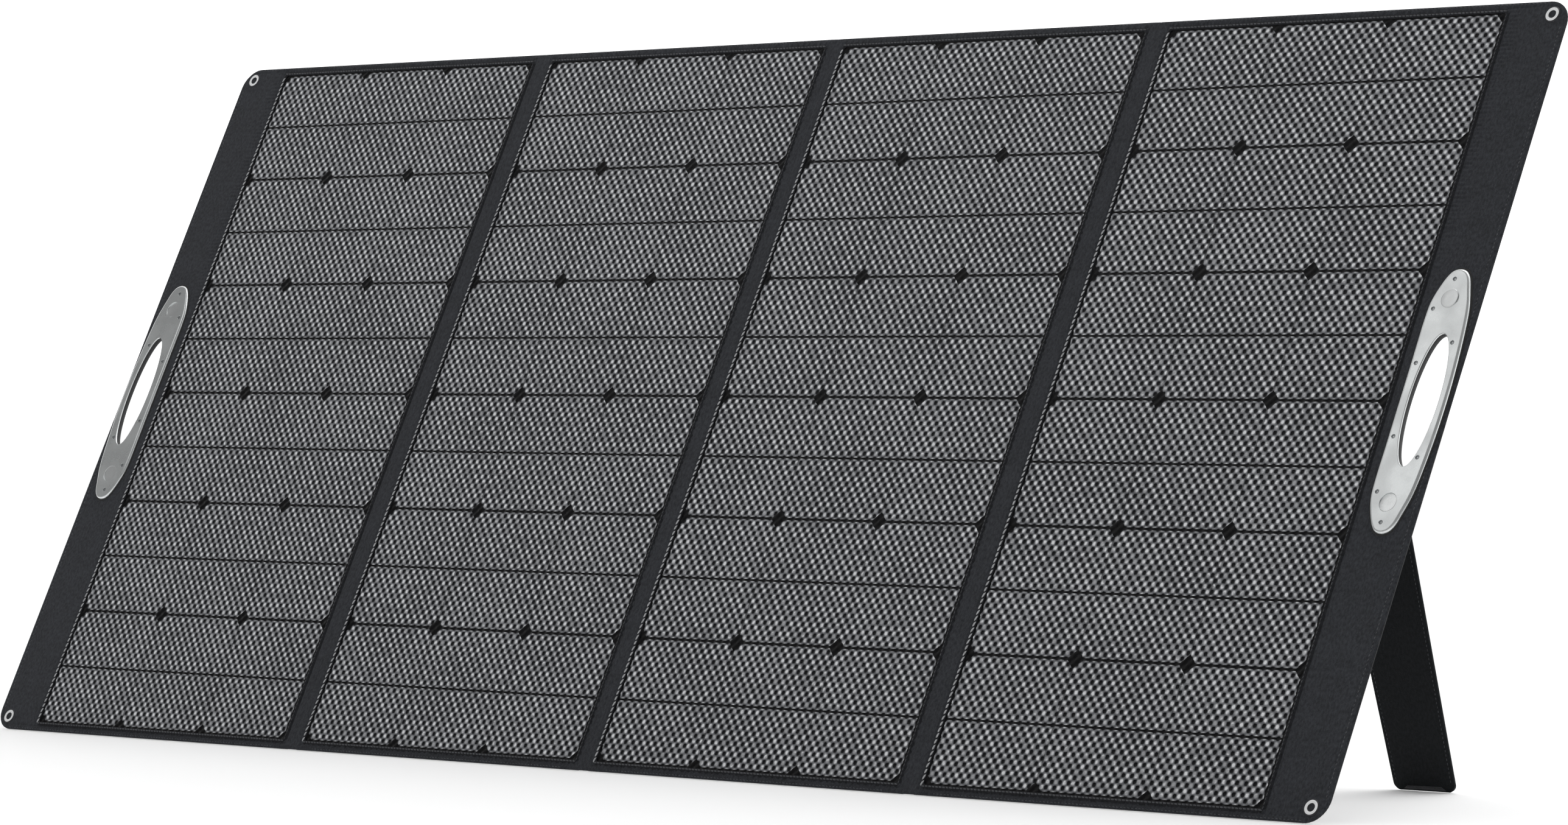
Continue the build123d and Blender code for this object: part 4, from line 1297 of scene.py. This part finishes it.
def add_eyelets(word, side):
    """Two rolled eyelets with washers behind, with painted shade round the flank and in the bore."""
    pile = Pile()
    angles = [math.pi * k / 12 for k in range(13)]
    profile = [(7.4 + 3.1 * math.cos(angle), 0.75 - 1.15 * math.sin(angle)) for angle in angles]
    profile += [(4.1, 1.6), (4.0, 4.6), (4.3, 6.2), (5.2, 6.6), (7.4, 6.5), (10.3, 6.1), (10.4, 5.2)]
    for up in (1, -1):
        rows = turned(side * GROMMET_X, MIDDLE_Z + up * GROMMET_Z, profile, EYELET_SIDES)
        pile.add(*ring_wall(rows))
    piece = add_piece(
        "eyelets_" + word, *pile.mesh(), EYELET_METAL,
        handle_body(side), "grommet_metal", "grommets_" + word,
    )
    # Painted shade: faces in the bore and on the outer flank take the dark copy of the metal.
    piece.data.materials.append(EYELET_PAINTED_SHADE)
    rings = len(profile) - 1
    for face in piece.data.polygons:
        if face.index // EYELET_SIDES % rings in SHADE_RINGS:
            face.material_index = 1
    crisp(piece, 50)


# ---- legs ----
def leg_centre(name):
    """X of a leg's middle."""
    return SECTIONS[name]["centre"] + LEG_SIDE[name] * LEG_OFFSET


def leg_loop(inset=0.0):
    """Outline of a closed leg round X = 0, with rounded foot corners."""
    top = LEG_TOP - inset
    foot = LEG_FOOT + inset
    half_top = LEG_HINGE_WIDTH / 2 - inset
    half_foot = LEG_FOOT_WIDTH / 2 - inset
    radius = LEG_CORNER - inset
    loop = []
    for start, sx in ((180, -1), (270, 1)):
        for k in range(9):
            angle = math.radians(start + 90 * k / 8)
            x = sx * (half_foot - radius) + radius * math.cos(angle)
            loop.append((x, foot + radius + radius * math.sin(angle)))
    side = 220
    (right_x, right_z), (left_x, left_z) = loop[-1], loop[0]
    for share in [k / side for k in range(1, side + 1)]:
        loop.append((right_x + (half_top - right_x) * share, right_z + (top - right_z) * share))
    loop += [(half_top - 2 * half_top * k / 40, top) for k in range(1, 40)]
    for share in [k / side for k in range(side)]:
        loop.append((-half_top + (left_x + half_top) * share, top + (left_z - top) * share))
    return loop


def add_leg(name):
    """Cloth-covered leg board with a stitched edge."""
    centre = leg_centre(name)
    outline = leg_loop()
    ring = np.array(outline)
    extra = []
    for inset in (0.5, 1.5, 4.5, 5.5, 7.0):
        extra += leg_loop(inset * MM)
    extra += grid_between(-LEG_HINGE_WIDTH / 2, LEG_HINGE_WIDTH / 2, LEG_FOOT, HINGE_HEIGHT, 12 * MM)

    def inside(x, z):
        return point_in_ring(ring, x, z)

    flat, faces = fill_outline([outline], inside, [p for p in extra if inside(*p)])
    x, z = flat[:, 0], flat[:, 1]
    rise = (z - LEG_FOOT) / LEG_LENGTH
    half = LEG_FOOT_WIDTH / 2 + (LEG_HINGE_WIDTH - LEG_FOOT_WIDTH) / 2 * rise
    edge = np.maximum(np.minimum.reduce([half - np.abs(x), z - LEG_FOOT, LEG_TOP - z]), 0)
    seam = ridge(edge - LEG_SEAM, 0.35 * MM, 1.0 * MM)
    fall = round_over(edge, 1.5 * MM)
    soft = 0.1 * MM * (1 + waves(x, z, ord(name) + 60, 0.12))
    front = HINGE_BACK + fall + seam + soft
    back = HINGE_BACK + LEG_THICK - fall - seam - soft
    points, solid = thick_plate(flat, faces, front, back)
    uv = points[:, [0, 2]]
    points[:, 0] += centre
    add_piece(
        "leg_" + name, open_leg(points), solid, LEG_CLOTH,
        "leg_" + name, "back_fabric", "leg_cover_" + name, uv=uv, sharp=60,
    )

    half_foot = LEG_FOOT_WIDTH / 2 - LEG_SEAM
    half_top = LEG_HINGE_WIDTH / 2 - LEG_SEAM
    low = LEG_FOOT + LEG_SEAM
    rows = [((-half_foot + LEG_CORNER, low), (half_foot - LEG_CORNER, low))]
    for side in (-1, 1):
        rows.append(((side * half_foot, LEG_FOOT + LEG_CORNER), (side * half_top, HINGE_HEIGHT - 3 * MM)))
    pile = Pile()
    for start, end in rows:
        sew(pile, start, end, HINGE_BACK + 0.4 * MM, 0.4 * MM)
    sew_back(pile, rows, HINGE_BACK + LEG_THICK - 0.4 * MM)
    band_rows = box_rows(-half_top, half_top, HINGE_HEIGHT - 22 * MM, HINGE_HEIGHT - 9 * MM)
    sew_back(pile, band_rows, HINGE_BACK + LEG_THICK + 0.62 * MM)
    points, faces = pile.mesh(centre)
    add_piece("leg_stitching_" + name, open_leg(points), faces, DARK_THREAD, "leg_" + name, "back_fabric")


def add_hinge_band(name):
    """Cloth band sewn on the back that carries the leg, drawn bent round the hinge onto the open leg."""
    centre = leg_centre(name)
    on_leg = np.array([HINGE_BACK, HINGE_HEIGHT]) + OFF_LEG * (LEG_THICK + 0.35 * MM)
    path = [(COVER_BACK + 0.35 * MM, HINGE_HEIGHT + d * MM) for d in (30, 24, 18, 12, 8)]
    knee = np.array([COVER_BACK + 1.6 * MM, HINGE_HEIGHT + 5.4 * MM])
    bend = [np.array(path[-1]), knee, on_leg + ALONG_LEG * 1.0 * MM]
    for share in (0.25, 0.5, 0.75):
        shares = (1 - share) ** 2, 2 * share * (1 - share), share**2
        path.append(tuple(shares[0] * bend[0] + shares[1] * bend[1] + shares[2] * bend[2]))
    path += [tuple(on_leg + ALONG_LEG * d * MM) for d in (1, 5, 10, 16, 22, 26)]
    halves = [61 * MM if z > HINGE_HEIGHT + 2 * MM else 55 * MM for _, z in path]
    points, faces, uv = strip_solid(path, halves, 0.7 * MM, centre=centre)
    piece = make_piece("hinge_band_" + name, points, faces, BACK_CLOTH, uv)
    weld(piece, 60)
    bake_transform(piece)


def add_strap(name):
    """Webbing that stops the leg, with a sewn tab at each end."""
    centre = leg_centre(name)
    near = np.array([COVER_BACK + 0.9 * MM, STRAP_END])
    far = np.array([HINGE_BACK, HINGE_HEIGHT]) + ALONG_LEG * STRAP_REACH - OFF_LEG * 0.7 * MM
    path = []
    for share in np.linspace(0, 1, 25):
        path.append(near + (far - near) * share - np.array([0, STRAP_SAG * math.sin(math.pi * share)]))
    points, faces, uv = strip_solid(path, STRAP_WIDTH / 2, 1.2 * MM, 4, centre)
    piece = add_piece(
        "strap_" + name, points, faces, WEBBING,
        "section_" + name, "webbing", "leg_strap_" + name, uv=uv, sharp=50,
    )
    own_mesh(piece)

    tab = [STRAP_END + d * MM for d in (1, -6, -12, -18, -24)]
    path = [(COVER_BACK + 0.4 * MM, z) for z in tab]
    points, faces, uv = strip_solid(path, STRAP_WIDTH / 2, 0.7 * MM, 4, centre)
    add_piece("strap_tab_" + name, points, faces, WEBBING, "section_" + name, "webbing", uv=uv)
    path = [(HINGE_BACK - 0.45 * MM, z) for z in tab]
    points, faces, uv = strip_solid(path, STRAP_WIDTH / 2, 0.8 * MM, 4, centre)
    add_piece("leg_tab_" + name, open_leg(points), faces, WEBBING, "leg_" + name, "webbing", uv=uv)


def add_patch(name):
    """Hook patch behind the closed leg, with rows of small hooks."""
    half_width, half_height = 25 * MM, 12.5 * MM
    base = [(COVER_BACK + 0.3 * MM, PATCH_Z + d) for d in np.linspace(-half_height, half_height, 6)]
    points, faces, _ = strip_solid(base, half_width, 0.6 * MM, 6)
    pile = Pile()
    pile.add(points, faces)
    peg = [(-0.5, 0, -0.35), (0.5, 0, -0.35), (0.5, 0, 0.35), (-0.5, 0, 0.35)]
    peg += [(-0.2, 0.7, 0.1), (0.2, 0.7, 0.1), (0.2, 0.7, 0.6), (-0.2, 0.7, 0.6)]
    peg_faces = [(0, 1, 2, 3), (7, 6, 5, 4), (0, 4, 5, 1), (1, 5, 6, 2), (2, 6, 7, 3), (3, 7, 4, 0)]
    for row in range(12):
        for column in range(24):
            x = -half_width + (column + 0.75 + 0.5 * (row % 2) * 0.9) * 2 * MM
            z = PATCH_Z - half_height + (row + 0.6) * 2 * MM
            if abs(x) < half_width - 0.8 * MM:
                pile.add(np.array(peg) * 0.6 * MM + np.array([x, COVER_BACK + 0.55 * MM, z]), peg_faces)
    add_piece(
        "patch_" + name, *pile.mesh(leg_centre(name)), HOOKS,
        "section_" + name, "hook_tape", "leg_patch_" + name, smooth=False,
    )


# ---- carried-over CAD nodes ----
def dress_nodes():
    """Finishes for every CAD node that stays."""
    finishes = {"junction_box_base": BOX_PLASTIC, "junction_box_lid": BOX_PLASTIC, "cable_gland": RUBBER_AND_SHADOW}
    finishes |= {"junction_box_screws": SCREW_METAL, "bypass_diodes": EPOXY}
    for name in SECTIONS:
        finishes |= {"cells_" + name: SILICON, "ribbons_" + name: COPPER}
        finishes |= {"board_" + name: BOARD, "leg_core_" + name: BOARD}
    for node, material in finishes.items():
        piece = frame["nodes"][node]
        if not piece.material_slots:
            piece.data.materials.append(material)
        for place in piece.material_slots:
            place.material = material


add_camera()
add_studio()
for section_name, section_data in SECTIONS.items():
    add_border(section_name, section_data)
    add_film(section_name, section_data)
    add_lip(section_name, section_data)
    add_stitching(section_name, section_data)
    add_back(section_name, section_data)
    add_leg(section_name)
    add_hinge_band(section_name)
    add_strap(section_name)
    add_back_stitching(section_name, section_data)
    add_patch(section_name)
add_fold("fold_cloth_ab", -FOLD_X, ["fold_strip_a"])
add_fold("fold_cloth_bc", 0.0, ["fold_strip_b", "fold_strip_c"])
add_fold("fold_cloth_cd", FOLD_X, ["fold_strip_d"])
for end_word, end_side in (("left", -1), ("right", 1)):
    add_front_plate(end_word, end_side)
    # Painted shadow: a dark ring round each front plate.
    add_painted_shadow_ring(end_word, end_side)
    add_rear_plate(end_word, end_side)
    add_liner(end_word, end_side)
    add_screws(end_word, end_side)
    add_magnets(end_word, end_side)
    add_eyelets(end_word, end_side)
dress_nodes()

bpy.context.scene.view_settings.view_transform = "Standard"
